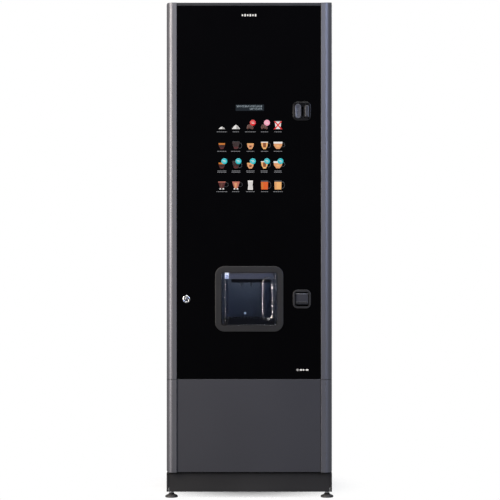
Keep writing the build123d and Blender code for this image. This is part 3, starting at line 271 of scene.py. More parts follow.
# ---- Mesh helpers ----------------------------------------------------------------------------
@dataclass
class Shape:
    """A mesh under construction, with a material for each of its faces."""

    name: str
    bm: bmesh.types.BMesh = field(default_factory=bmesh.new)
    finishes: list[bpy.types.Material] = field(default_factory=list)

    def slot_of(self, material: bpy.types.Material) -> int:
        """Return the material's index on this shape, adding it if it is new."""
        if material not in self.finishes:
            self.finishes.append(material)
        return self.finishes.index(material)

    def paint(self, faces: Sequence[bmesh.types.BMFace], material: bpy.types.Material) -> None:
        """Set the material of some faces.

        Args:
            faces: The faces to set.
            material: Their material.
        """
        index = self.slot_of(material)
        for face in faces:
            face.material_index = index

    def flat(self, corners: Sequence[Vector], radius: float, segments: int) -> bmesh.types.BMFace:
        """Make one flat face and round its corners.

        Args:
            corners: Its corners, in order.
            radius: Corner radius. 0 leaves them sharp.
            segments: Steps in each corner.

        Returns:
            The face.
        """
        before = set(self.bm.faces)
        verts = [self.bm.verts.new(corner) for corner in corners]
        self.bm.faces.new(verts)
        if radius:
            bmesh.ops.bevel(self.bm, geom=verts, offset=radius, offset_type="OFFSET", segments=segments,
                            profile=0.5, affect="VERTICES", material=-1, clamp_overlap=True)
        return max((face for face in self.bm.faces if face not in before), key=lambda face: face.calc_area())

    def rounded_loop(self, centre: Pair, size: Pair, radius: float, y: float,
                     segments: int = 8) -> list[bmesh.types.BMEdge]:
        """Make an upright rounded rectangle of edges that faces -Y.

        Args:
            centre: X and Z of its middle.
            size: Width and height.
            radius: Corner radius.
            y: Depth of its plane.
            segments: Steps in each corner.

        Returns:
            The edges of the loop.
        """
        half_w, half_h = size[0] / 2, size[1] / 2
        corners = [Vector((centre[0] + sx * half_w, y, centre[1] + sz * half_h))
                   for sx, sz in ((-1, -1), (1, -1), (1, 1), (-1, 1))]
        face = self.flat(corners, min(radius, half_w * 0.995, half_h * 0.995), segments)
        edges = list(face.edges)
        self.bm.faces.remove(face)
        return edges

    def loft(self, loops: Sequence[list[bmesh.types.BMEdge]], cap_first: bool = False,
             cap_last: bool = False) -> list[bmesh.types.BMFace]:
        """Skin a row of loops that have the same number of edges.

        Args:
            loops: The loops, in order.
            cap_first: Close the first loop with a face.
            cap_last: Close the last loop with a face.

        Returns:
            The new faces.
        """
        faces: list[bmesh.types.BMFace] = []
        for near, far in zip(loops, loops[1:]):
            faces += bmesh.ops.bridge_loops(self.bm, edges=near + far)["faces"]
        for wanted, loop in ((cap_first, loops[0]), (cap_last, loops[-1])):
            if wanted:
                faces += bmesh.ops.contextual_create(self.bm, geom=loop)["faces"]
        return faces

    def steps(self, centre: Pair, size: Pair, radius: float, profile: Sequence[Pair], cap_first: bool = False,
              cap_last: bool = False, segments: int = 8) -> list[bmesh.types.BMFace]:
        """Loft a rounded rectangle through a profile of inset and depth.

        Args:
            centre: X and Z of its middle.
            size: Width and height at inset 0.
            radius: Corner radius at inset 0.
            profile: Pairs of inset and depth y.
            cap_first: Close the first loop.
            cap_last: Close the last loop.
            segments: Steps in each corner.

        Returns:
            The new faces.
        """
        loops = [self.rounded_loop(centre, (size[0] - 2 * inset, size[1] - 2 * inset),
                                   max(radius - inset, 0.0004), y, segments) for inset, y in profile]
        return self.loft(loops, cap_first, cap_last)

    def turned(self, axis_point: Vector, axis: Vector, profile: Sequence[Vector],
               steps: int = 48) -> list[bmesh.types.BMFace]:
        """Turn a profile round an axis, as on a lathe.

        Args:
            axis_point: A point on the axis.
            axis: The axis direction.
            profile: Points of the profile. Points on the axis close the shape.
            steps: Steps round the circle.

        Returns:
            The new faces.
        """
        verts = [self.bm.verts.new(point) for point in profile]
        edges = [self.bm.edges.new(pair) for pair in zip(verts, verts[1:])]
        before = set(self.bm.faces)
        bmesh.ops.spin(self.bm, geom=verts + edges, cent=axis_point, axis=axis, angle=math.tau, steps=steps,
                       use_merge=True)
        bmesh.ops.remove_doubles(self.bm, verts=self.bm.verts, dist=1e-6)
        return [face for face in self.bm.faces if face not in before]

    def finish(self, body: str, slot: str, smooth: bool = True, replaces: Sequence[str] = (),
               turn_out: bool = True) -> bpy.types.Object:
        """Close the mesh, make its object and tie it to its body.

        Args:
            body: The body that the piece rides on.
            slot: Not used.
            smooth: Shade smooth, with creases kept sharp.
            replaces: Mechanical nodes that this piece stands for.
            turn_out: Recalculate normals to face outwards.

        Returns:
            The finished object.
        """
        if turn_out:
            bmesh.ops.recalc_face_normals(self.bm, faces=self.bm.faces)
        mesh = bpy.data.meshes.new(self.name)
        self.bm.to_mesh(mesh)
        self.bm.free()
        for material in self.finishes:
            mesh.materials.append(material)
        if smooth:
            mesh.shade_smooth()
            mesh.set_sharp_from_angle(angle=math.radians(38))
        made = bpy.data.objects.new(self.name, mesh)
        bpy.context.scene.collection.objects.link(made)
        if replaces:
            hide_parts(*replaces)
        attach(made, body)
        log.info("%s: %d faces on %s", self.name, len(mesh.polygons), body)
        return made


# ---- Stage -----------------------------------------------------------------------------------
@dataclass(frozen=True)
class Softbox:
    """One soft studio light.

    Args:
        name: Its name.
        place: Where it stands.
        aim: The point it faces.
        size: Width and height.
        power: Watts.
        colour: sRGB hex colour.
    """

    name: str
    place: tuple[float, float, float]
    aim: tuple[float, float, float]
    size: Pair
    power: float
    colour: str

    def build(self) -> None:
        """Add the light to the scene."""
        data = bpy.data.lights.new(self.name, "AREA")
        data.shape = "RECTANGLE"
        data.size, data.size_y = self.size
        data.energy = self.power
        data.color = linear(self.colour)[:3]
        lamp = bpy.data.objects.new(self.name, data)
        lamp.location = self.place
        lamp.rotation_euler = (Vector(self.aim) - Vector(self.place)).to_track_quat("-Z", "Y").to_euler()
        bpy.context.scene.collection.objects.link(lamp)


@dataclass
class Studio:
    """The pale floor, the soft lights and the camera."""

    lens: float = 120.0
    sensor: float = 36.0
    eye: tuple[float, float, float] = (0.0026, -6.4925, 0.915)
    floor_radius: float = 0.47
    clear_radius: float = 0.02
    lights: tuple[Softbox, ...] = (
        Softbox("softbox_left", (-2.7, -2.7, 2.15), (0.0, -0.35, 1.1), (1.5, 2.3), 185, "fff3e6"),
        Softbox("strip_left", (-2.9, -2.1, 0.66), (0.07, -0.36, 0.73), (0.24, 0.7), 32, "fff4f4"),
        Softbox("softbox_right", (2.2, -3.7, 2.2), (0.25, -0.35, 1.2), (0.7, 2.0), 72, "c4d2ff"),
        Softbox("softbox_top", (0.0, -1.8, 3.6), (0.0, -0.2, 1.0), (2.0, 1.2), 70, "ffffff"),
        Softbox("softbox_back", (0.6, 3.4, 2.4), (0.0, 0.2, 1.0), (2.4, 1.8), 60, "f4f6ff"),
    )

    def build(self) -> None:
        """Set up the floor, the world, the lights and the camera."""
        self.floor()
        self.world()
        for light in self.lights:
            light.build()
        scene = bpy.context.scene
        scene.view_settings.view_transform = "Standard"
        data = bpy.data.cameras.new("front_camera")
        data.lens, data.sensor_width = self.lens, self.sensor
        eye = bpy.data.objects.new("front_camera", data)
        eye.location = self.eye
        eye.rotation_euler = (math.pi / 2, 0.0, 0.0)
        scene.collection.objects.link(eye)
        scene.camera = eye

    def floor(self) -> None:
        """Lay a pale disc that fades out, so that it meets the backdrop with no line."""
        bm = bmesh.new()
        bmesh.ops.create_circle(bm, cap_ends=True, segments=96, radius=self.floor_radius)
        mesh = bpy.data.meshes.new("floor")
        bm.to_mesh(mesh)
        bm.free()
        made = bpy.data.materials.new("matt studio floor, pale")
        made.use_nodes = True
        tree = made.node_tree
        tree.nodes.clear()
        place = add_node(tree, "ShaderNodeTexCoord")
        reach = add_node(tree, "ShaderNodeVectorMath", {"operation": "LENGTH"}, {0: (place, "Object")})
        share = add_node(tree, "ShaderNodeMapRange",
                         {"interpolation_type": "SMOOTHSTEP", "From Min": self.clear_radius,
                          "From Max": self.floor_radius}, {"Value": (reach, "Value")})
        matt = add_node(tree, "ShaderNodeBsdfPrincipled", {"Base Color": linear("fbfbfb"), "Roughness": 0.9,
                                                           "Specular IOR Level": 0.1})
        gone = add_node(tree, "ShaderNodeBsdfTransparent")
        both = add_node(tree, "ShaderNodeMixShader", links={0: (share, "Result"), 1: (matt, "BSDF"),
                                                            2: (gone, "BSDF")})
        add_node(tree, "ShaderNodeOutputMaterial", links={"Surface": (both, "Shader")})
        mesh.materials.append(made)
        disc = bpy.data.objects.new("floor", mesh)
        bpy.context.scene.collection.objects.link(disc)

    def world(self) -> None:
        """Show a white backdrop, and light the machine from a room that is darker in front of the door."""
        made = bpy.data.worlds.new("studio room")
        made.use_nodes = True
        tree = made.node_tree
        tree.nodes.clear()
        place = add_node(tree, "ShaderNodeTexCoord")
        axes = add_node(tree, "ShaderNodeSeparateXYZ", links={"Vector": (place, "Generated")})
        ahead = add_node(tree, "ShaderNodeMapRange", {"From Min": -0.985, "From Max": -0.8, "To Min": 0.02,
                                                      "To Max": 0.4}, {"Value": (axes, "Y")})
        room = add_node(tree, "ShaderNodeBackground", {"Color": linear("f2f2f3")},
                        {"Strength": (ahead, "Result")})
        white = add_node(tree, "ShaderNodeBackground", {"Color": linear("ffffff"), "Strength": 1.0})
        path = add_node(tree, "ShaderNodeLightPath")
        both = add_node(tree, "ShaderNodeMixShader",
                        links={0: (path, "Is Camera Ray"), 1: (room, "Background"),
                                                            2: (white, "Background")})
        add_node(tree, "ShaderNodeOutputWorld", links={"Surface": (both, "Shader")})
        bpy.context.scene.world = made


# ---- Kept mechanical nodes -------------------------------------------------------------------
@dataclass(frozen=True)
class Dressing:
    """Finishes for the mechanical nodes whose shape is kept."""

    name: str
    nodes: dict[str, Finish]

    def build(self) -> None:
        """Give every node of this group its finish."""
        for node, finish in self.nodes.items():
            dress(node, finish)
            log.info("%s: %s in %s", self.name, node, finish.name)


SHELL = Dressing("shell", {
    "base_frame": BASE_PAINT, "plinth_panel": BASE_PAINT, "side_panel_left": CABINET_PAINT,
    "side_panel_right": CABINET_PAINT, "top_panel": CABINET_PAINT, "back_panel": GALVANISED,
    "panel_screws": ZINC, "power_inlet": BLACK_ABS, "hinge_brackets": BASE_PAINT, "lock_keepers": ZINC,
    "post_left_upper": POST_METAL, "post_left_lower": POST_METAL, "post_right_upper": POST_METAL,
    "post_right_lower": POST_METAL, "top_rail": RAIL_METAL, "lower_panel": PANEL_METAL,
    "front_glass": BLACK_GLASS, "door_pan": GALVANISED, "door_gasket": SEAL_RUBBER, "lock_bar": ZINC,
})
FRONT_UNITS = Dressing("front units", {
    "cup_bezel": BEZEL_ABS, "cup_chamber": CHAMBER_ABS, "spout_cover": HEADER_ABS, "drip_tray": GRILLE_ABS,
    "drip_grille": GRILLE_ABS, "coin_bezel": GLOSS_ABS, "reject_lever": GLOSS_ABS,
    "coin_return_cup": BEZEL_ABS, "return_flap": INSERT_ABS, "coin_mechanism": BLACK_ABS,
    "lock_housing": CHROME, "lock_cylinder": BRASS, "display_module": BLACK_ABS, "selection_board": CIRCUIT,
    "cup_door": SMOKED_PC,
})
INSIDE = Dressing("drink units", {
    "component_shelf": GALVANISED, "cup_dispenser": WHITE_PP, "cup_turret": TUBE_PC,
    "canister_1": CANISTER_PP, "canister_2": CANISTER_PP, "canister_3": CANISTER_PP,
    "canister_lid_1": BLACK_ABS, "canister_lid_2": BLACK_ABS, "canister_lid_3": BLACK_ABS,
    "bean_hopper": SMOKED_PC, "hopper_lid": BLACK_ABS, "coffee_grinder": GREY_ABS, "brew_group": GREY_ABS,
    "brew_piston": STAINLESS, "mixing_bowls": WHITE_PP, "boiler": STAINLESS, "control_box": GALVANISED,
    "waste_bin": BIN_PP, "auger_1": WHITE_PP, "auger_2": WHITE_PP, "auger_3": WHITE_PP, "foot_1": FOOT_RUBBER,
    "foot_2": FOOT_RUBBER, "foot_3": FOOT_RUBBER, "foot_4": FOOT_RUBBER,
})


# ---- Printed and lit graphics on the glass ---------------------------------------------------
def glowing(name: str, code: str, strength: float, roughness: float = 0.4) -> Finish:
    """Describe translucent ink lit from behind.

    Args:
        name: Which ink.
        code: sRGB colour.
        strength: Strength of the light that it lets through.
        roughness: Mean roughness.

    Returns:
        The finish, with a fine screen-print mottle.
    """
    return Finish(f"screen-printed ink, {name}, lit from behind", "0b0b0c", "060607", roughness, 0.0,
                  Grain.EVEN, 2.0, 0.01, 12, 0.08, glow=strength, lit=code)


class Ink(Enum):
    """Inks of the selection icons. Their mottle is drawn coarser than a real screen so that it shows."""

    FOAM = glowing("milk white", "e9e6e2", 0.95)
    SHADE = glowing("pale grey", "a9a6a4", 0.9)
    BEAN = glowing("bean brown", "5d3426", 0.9)
    BEAN_LINE = glowing("dark bean brown", "2c1510", 0.8)
    RED = glowing("red", "d81414", 1.0)
    PINK = glowing("rose", "f29db4", 1.0)
    TEAL = glowing("teal", "04bcc4", 0.95)
    CREMA = glowing("amber crema", "c8741c", 0.95)
    DARK_BREW = glowing("dark brew", "4a0a05", 1.0)
    TAN = glowing("milky coffee", "dd9a66", 0.95)
    TAN_DARK = glowing("coffee shade", "8b4a1e", 0.9)
    ORANGE = glowing("orange", "dc5a08", 0.95)
    SAND = glowing("light caramel", "f0b26c", 0.95)
    ROSE_BREW = glowing("rose brown", "b96a58", 0.95)
    OUTLINE = glowing("grey outline", "4a4a4c", 0.8)
    CAPTION = glowing("caption grey", "8c8d90", 0.75)
    DIAL = glowing("display slate", "1c2329", 0.9, 0.2)
    DOT = glowing("display dots", "8e9ba2", 0.75)


class Vessel(Enum):
    """Outline of a cup: half width at the foot, at the waist and at the rim, as shares of its half width."""

    GLASS = (0.35, 0.85, 1.0)
    SHORT = (0.42, 0.88, 1.0)
    BOWL = (0.38, 0.90, 1.0)
    CONE = (0.42, 0.70, 1.0)
    MUG = (0.92, 0.97, 1.0)
    PAPER = (0.68, 0.84, 1.0)


@dataclass
class Relief:
    """Low printed relief that stands on a flat face, built in millimetres round one icon's middle."""

    shape: Shape
    x: float
    z: float
    face_y: float
    lift: float = 0.35

    def at(self, x: float, z: float, y: float = 0.0) -> Vector:
        """Return the place of a point given in millimetres from the icon's middle."""
        return Vector((self.x + x * MM, self.face_y - y * MM, self.z + z * MM))

    def plate(self, outline: Sequence[Pair], ink: Ink, level: int = 0, round_mm: float = 0.0) -> None:
        """Raise a flat outline from the face, with softened edges.

        Args:
            outline: Corners in millimetres, in order.
            ink: Its ink.
            level: Layers of ink under it.
            round_mm: Radius of its corners.
        """
        bm = self.shape.bm
        before = set(bm.faces)
        face = self.shape.flat([self.at(x, z) for x, z in outline], round_mm * MM, 3)
        made = bmesh.ops.extrude_face_region(bm, geom=[face], use_keep_orig=True)
        raised = [item for item in made["geom"] if isinstance(item, bmesh.types.BMVert)]
        bmesh.ops.translate(bm, verts=raised, vec=(0.0, -self.lift * (level + 1) * MM, 0.0))
        self.shape.paint([f for f in bm.faces if f not in before], ink.value.material())

    def disc(self, x: float, z: float, radius: float, ink: Ink, level: int = 0, flat: float = 1.0) -> None:
        """Raise a round or oval plate with a domed front.

        Args:
            x: Middle, across.
            z: Middle, up.
            radius: Half width.
            ink: Its ink.
            level: Layers of ink under it.
            flat: Height as a share of its width.
        """
        lift = self.lift * (level + 1)
        made = bmesh.ops.create_uvsphere(self.shape.bm, u_segments=24, v_segments=8, radius=radius * MM,
                                         matrix=Matrix.Translation(self.at(x, z))
                                         @ Matrix.Diagonal((1.0, lift / radius, flat, 1.0)))
        self.shape.paint(list({f for v in made["verts"] for f in v.link_faces}), ink.value.material())

    def ring(self, x: float, z: float, width: float, height: float, wire: float, ink: Ink,
             level: int = 0) -> None:
        """Bend a thin wire into an oval handle.

        Args:
            x: Middle, across.
            z: Middle, up.
            width: Overall width.
            height: Overall height.
            wire: Thickness of the line.
            ink: Its ink.
            level: Layers of ink under it.
        """
        bm = self.shape.bm
        lift = self.lift * (level + 1)
        start = bmesh.ops.create_circle(bm, segments=6, radius=wire / 2 * MM,
                                        matrix=Matrix.Translation(self.at(x + width / 2, z))
                                        @ Matrix.Diagonal((1.0, lift / wire * 1.6, 1.0, 1.0)))
        edges = list({e for v in start["verts"] for e in v.link_edges})
        before = set(bm.faces)
        bmesh.ops.spin(bm, geom=start["verts"] + edges, cent=self.at(x, z), axis=(0, 1, 0), angle=math.tau,
                       steps=20, use_merge=True)
        faces = [f for f in bm.faces if f not in before]
        bmesh.ops.scale(bm, verts=list({v for f in faces for v in f.verts}), vec=(1.0, 1.0, height / width),
                        space=Matrix.Translation(-self.at(x, z)))
        self.shape.paint(faces, ink.value.material())

    def vessel(self, form: Vessel, width: float, low: float, high: float, ink: Ink, level: int = 0,
               rim: Ink | None = None, rim_height: float = 3.0) -> None:
        """Raise a cup's outline, with an optional band of foam or crema at its rim.

        Args:
            form: Its outline.
            width: Width at the rim.
            low: Height of its foot.
            high: Height of its rim.
            ink: Its body's ink.
            level: Layers of ink under it.
            rim: The band's ink.
            rim_height: The band's height.
        """
        foot, waist, top = (share * width / 2 for share in form.value)
        body = high - (rim_height if rim else 0.0)
        middle = low + 0.45 * (high - low)
        side = waist + (top - waist) * (body - middle) / max(high - middle, 0.1)
        self.plate([(-foot, low), (foot, low), (waist, middle), (side, body), (-side, body),
                    (-waist, middle)],
                   ink, level, 0.8)
        if rim:
            self.plate([(-side, body - 0.2), (side, body - 0.2), (top, high), (-top, high)], rim, level, 0.5)


@dataclass
class Selections:
    """Twenty lit selections in four rows of five, each with a picture and a caption of plain dashes."""

    body: str = "door"
    columns: tuple[float, ...] = (-101.0, -49.0, 4.0, 56.0, 105.5)
    rows: tuple[float, ...] = (1371.0, 1300.0, 1228.5, 1153.6)
    captions: tuple[float, ...] = (1349.6, 1278.0, 1203.5, 1129.6)
    badge_radius: float = 11.0

    def build(self) -> None:
        """Make every selection as its own piece."""
        face_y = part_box("front_glass")[0].y
        pictures = (self.small_heap, self.large_heap, self.beans_red, self.beans_rose, self.no_cup,
                    self.espresso, self.long_coffee, self.cortado, self.milky_glass, self.cappuccino,
                    self.espresso, self.long_coffee, self.cortado, self.milky_glass, self.cappuccino,
                    self.chocolate, self.rose_drink, self.tall_milk, self.tea, self.light_tea)
        for number, draw in enumerate(pictures):
            row, column = divmod(number, len(self.columns))
            shape = Shape(f"selection_{number + 1:02d}")
            icon = Relief(shape, self.columns[column] * MM, self.rows[row] * MM, face_y)
            draw(icon)
            if row == 2:
                self.badge(icon, 9.0, 13.0, Ink.TEAL)
            label = Relief(shape, icon.x, self.captions[row] * MM, face_y, 0.2)
            self.caption(label, number, 2 if row == 2 else 1)
            shape.finish(self.body, "display_plastic", smooth=True)

    def caption(self, label: Relief, number: int, lines: int) -> None:
        """Print the caption as plain bars of different lengths.

        Args:
            label: Where to print.
            number: The selection's number, which sets the lengths.
            lines: How many lines.
        """
        draw = random.Random(number)
        for line in range(lines):
            z = 2.4 * (lines - 1) - 4.8 * line
            width = draw.uniform(24, 38) if lines == 2 else draw.uniform(22, 40)
            x = -width / 2
            while x < width / 2 - 2:
                bar = min(draw.uniform(3.0, 9.0), width / 2 - x)
                label.plate([(x, z - 1.1), (x + bar, z - 1.1), (x + bar, z + 1.1), (x, z + 1.1)], Ink.CAPTION,
                            0, 0.5)
                x += bar + 1.2

    def badge(self, icon: Relief, x: float, z: float, ink: Ink) -> None:
        """Print a round badge with a small generic sign.

        Args:
            icon: The icon to print on.
            x: Middle of the badge, across.
            z: Middle of the badge, up.
            ink: Its ink.
        """
        icon.disc(x, z, self.badge_radius, ink, 3)
        for side in (-1, 1):
            icon.plate([(x - 5, z + side * 2.4 - 0.9), (x + 5, z + side * 2.4 - 0.9),
                        (x + 5 - side * 2, z + side * 2.4 + 0.9), (x - 5 - side * 2, z + side * 2.4 + 0.9)],
                       Ink.FOAM, 4, 0.3)

    def small_heap(self, icon: Relief) -> None:
        """Draw a small heap of sugar."""
        self.heap(icon, 12.0, 9.0)

    def large_heap(self, icon: Relief) -> None:
        """Draw a large heap of sugar."""
        self.heap(icon, 15.5, 16.0)

    def heap(self, icon: Relief, half: float, height: float) -> None:
        """Draw a heap with a shaded flank and loose grains.

        Args:
            icon: The icon to print on.
            half: Half its width.
            height: Its height.
        """
        low = -11.0
        icon.plate([(-half, low), (half, low), (half * 0.45, low + height * 0.66), (0, low + height),
                    (-half * 0.42, low + height * 0.7)], Ink.FOAM, 0, 1.6)
        icon.plate([(half * 0.1, low + 0.5), (half * 0.85, low + 0.5), (half * 0.4, low + height * 0.58),
                    (half * 0.08, low + height * 0.85)], Ink.SHADE, 1, 1.0)
        draw = random.Random(int(half))
        for _ in range(7):
            icon.disc(draw.uniform(-half, half) * 0.8, low + draw.uniform(0.5, 2.5), 0.7, Ink.FOAM, 1)

    def beans(self, icon: Relief) -> None:
        """Draw three coffee beans with their grooves."""
        for x, z, lean in ((-8.0, -3.0, 0.25), (-0.5, -1.5, -0.1), (6.0, -4.0, -0.3)):
            count = len(icon.shape.bm.verts)
            icon.disc(x, z, 4.6, Ink.BEAN, 1, 1.9)
            icon.disc(x, z, 0.7, Ink.BEAN_LINE, 3, 9.0)
            icon.shape.bm.verts.ensure_lookup_table()
            bmesh.ops.rotate(icon.shape.bm, verts=icon.shape.bm.verts[count:], cent=icon.at(x, z),
                             matrix=Matrix.Rotation(lean, 3, "Y"))

    def beans_red(self, icon: Relief) -> None:
        """Draw beans with a red badge."""
        self.beans(icon)
        self.badge(icon, 9.0, 12.0, Ink.RED)

    def beans_rose(self, icon: Relief) -> None:
        """Draw beans with a rose badge."""
        self.beans(icon)
        self.badge(icon, 9.0, 12.0, Ink.PINK)

    def no_cup(self, icon: Relief) -> None:
        """Draw a crossed-out paper cup."""
        icon.vessel(Vessel.PAPER, 24, -11, 18, Ink.FOAM, 0, Ink.SHADE, 2.2)
        for side in (-1, 1):
            icon.plate([(-16 * side, -12), (-10 * side, -12), (15 * side, 17), (9 * side, 17)], Ink.RED,
                       2 + side, 0.3)

    def handle(self, icon: Relief, x: float, z: float, width: float, height: float) -> None:
        """Draw a thin grey handle.

        Args:
            icon: The icon to print on.
            x: Its middle, across.
            z: Its middle, up.
            width: Its width.
            height: Its height.
        """
        icon.ring(x, z, width, height, 1.3, Ink.OUTLINE)

    def espresso(self, icon: Relief) -> None:
        """Draw a short glass with amber crema over dark coffee."""
        icon.vessel(Vessel.SHORT, 24, -14, 8, Ink.DARK_BREW, 0, Ink.CREMA, 6)
        icon.plate([(-8, -7), (8, -7), (9.5, 0), (-9.5, 0)], Ink.BEAN_LINE, 1, 1.0)

    def long_coffee(self, icon: Relief) -> None:
        """Draw a tall glass cup of black coffee with a handle."""
        self.handle(icon, 14, -1, 15, 20)
        icon.vessel(Vessel.GLASS, 27, -14, 14, Ink.BEAN_LINE, 0, Ink.OUTLINE, 1.2)
        icon.plate([(-7, -13), (7, -13), (9, -5), (-9, -5)], Ink.DARK_BREW, 1, 1.5)

    def cortado(self, icon: Relief) -> None:
        """Draw a short glass of coffee with milk."""
        icon.vessel(Vessel.SHORT, 25, -14, 7, Ink.TAN, 0, Ink.SAND, 3)
        icon.disc(0, -4, 6.0, Ink.TAN_DARK, 2, 0.7)

    def milky_glass(self, icon: Relief) -> None:
        """Draw a foam-lined glass of coffee with a handle."""
        self.handle(icon, 15, 0, 13, 17)
        icon.vessel(Vessel.GLASS, 26, -14, 13, Ink.SAND, 0, Ink.FOAM, 3)
        icon.plate([(-5, -8), (5, -8), (6.5, 9), (-6.5, 9)], Ink.TAN_DARK, 1, 1.5)

    def cappuccino(self, icon: Relief) -> None:
        """Draw a wide cup with white foam and a handle."""
        self.handle(icon, 17, 2, 17, 16)
        icon.vessel(Vessel.BOWL, 33, -13, 13, Ink.TAN, 0, Ink.FOAM, 6.5)
        icon.disc(0, -3, 8.0, Ink.SAND, 1, 0.45)

    def footed(self, icon: Relief, brew: Ink, shine: Ink) -> None:
        """Draw a conical cup on two feet, with a handle.

        Args:
            icon: The icon to print on.
            brew: Ink of the drink.
            shine: Ink of its lit middle.
        """
        self.handle(icon, 15, 2, 17, 16)
        icon.vessel(Vessel.CONE, 28, -12, 13, brew, 0, Ink.ROSE_BREW, 3)
        icon.plate([(-4, -10), (1, -10), (4, 8), (-6, 8)], shine, 1, 1.2)
        for x in (-5.5, 5.5):
            icon.plate([(x - 3.2, -16), (x + 3.2, -16), (x + 2.2, -11), (x - 2.2, -11)], Ink.FOAM, 1, 0.9)

    def chocolate(self, icon: Relief) -> None:
        """Draw the dark footed cup."""
        self.footed(icon, Ink.DARK_BREW, Ink.BEAN)

    def rose_drink(self, icon: Relief) -> None:
        """Draw the rose footed cup."""
        self.footed(icon, Ink.ROSE_BREW, Ink.TAN)

    def tall_milk(self, icon: Relief) -> None:
        """Draw a tall ribbed glass of milk."""
        icon.plate([(-9.5, -17), (9.5, -17), (7.5, 0), (9.5, 17), (-9.5, 17), (-7.5, 0)], Ink.FOAM, 0, 0.8)
        for x in (-4.0, 0.0, 4.0):
            icon.plate([(x - 0.7, -14), (x + 0.7, -14), (x + 0.7, 12), (x - 0.7, 12)], Ink.SHADE, 1, 0.3)

    def mug(self, icon: Relief, brew: Ink, side: Ink) -> None:
        """Draw a straight mug with a handle.

        Args:
            icon: The icon to print on.
            brew: Ink of the drink.
            side: Ink of its lit flank.
        """
        self.handle(icon, 16, 0, 15, 24)
        icon.vessel(Vessel.MUG, 26, -16, 12, brew)
        icon.plate([(-10.5, -14), (-5, -14), (-5.5, 10), (-11.5, 10)], side, 1, 1.0)
        icon.plate([(-13, 12), (13, 12), (13.3, 17), (-13.3, 17)], Ink.OUTLINE, 0, 0.4)

    def tea(self, icon: Relief) -> None:
        """Draw a mug of tea."""
        self.mug(icon, Ink.ORANGE, Ink.CREMA)

    def light_tea(self, icon: Relief) -> None:
        """Draw a mug of light tea."""
        self.mug(icon, Ink.SAND, Ink.TAN)


@dataclass
class Display:
    """Lit window with two rows of dot characters, none of which spells anything."""

    body: str = "door"
    centre: Pair = (2.0, 1438.5)
    size: Pair = (104.0, 23.0)
    cell: Pair = (5.9, 9.4)
    columns: int = 16
    dot: float = 0.55

    def build(self) -> None:
        """Make the window and its dots."""
        face_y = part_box("front_glass")[0].y
        half_w, half_h = self.size[0] / 2, self.size[1] / 2
        window = Shape("display_window")
        pane = Relief(window, self.centre[0] * MM, self.centre[1] * MM, face_y, 0.25)
        pane.plate([(-half_w, -half_h), (half_w, -half_h), (half_w, half_h), (-half_w, half_h)], Ink.DIAL, 0,
                   1.5)
        window.finish(self.body, "display_plastic")
        dots = Shape("display_dots")
        glow = Relief(dots, self.centre[0] * MM, self.centre[1] * MM, face_y, 0.4)
        draw = random.Random(7)
        for row, first in ((0, 0), (1, 8)):
            for column in range(first, self.columns):
                x = -half_w + 5.5 + column * self.cell[0]
                z = half_h - 7.0 - row * self.cell[1]
                self.character(glow, x, z, draw)
        dots.finish(self.body, "display_plastic")

    def character(self, glow: Relief, x: float, z: float, draw: random.Random) -> None:
        """Light some dots of one cell.

        Args:
            glow: Where to print.
            x: Middle of the cell, across.
            z: Middle of the cell, up.
            draw: Seeded source of the pattern.
        """
        pitch = 1.15
        for column in range(-1, 3):
            for row in range(-2, 4):
                if draw.random() < 0.62:
                    px, pz = x + column * pitch, z + row * pitch
                    glow.plate([(px - self.dot, pz - self.dot), (px + self.dot, pz - self.dot),
                                (px + self.dot, pz + self.dot), (px - self.dot, pz + self.dot)], Ink.DOT)


@dataclass
class PlainMarks:
    """Two small plain white prints on the glass, built of bars and dots that stand for no name."""

    body: str = "door"

    def build(self) -> None:
        """Print both marks."""
        face_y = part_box("front_glass")[0].y
        head = Shape("print_head")
        print_at = Relief(head, -1.0 * MM, 1778.5 * MM, face_y, 0.2)
        for number in range(6):
            x = -24.0 + number * 9.6
            tall = 4.6 if number % 2 else 3.4
            print_at.plate([(x - 2.9, -tall), (x + 2.9, -tall), (x + 2.9, tall), (x - 2.9, tall)], Ink.FOAM,
                           0, 2.0)
        head.finish(self.body, "display_plastic")
        foot = Shape("print_foot")
        print_at = Relief(foot, 195.5 * MM, 474.0 * MM, face_y, 0.2)
        print_at.disc(-18.0, 0.0, 4.2, Ink.SHADE)
        for number, width in enumerate((9.0, 6.0, 10.0)):
            x = -10.0 + number * 11.0
            print_at.plate([(x, -2.6), (x + width, -2.6), (x + width, 2.6), (x, 2.6)], Ink.FOAM, 0, 1.2)
        foot.finish(self.body, "display_plastic")


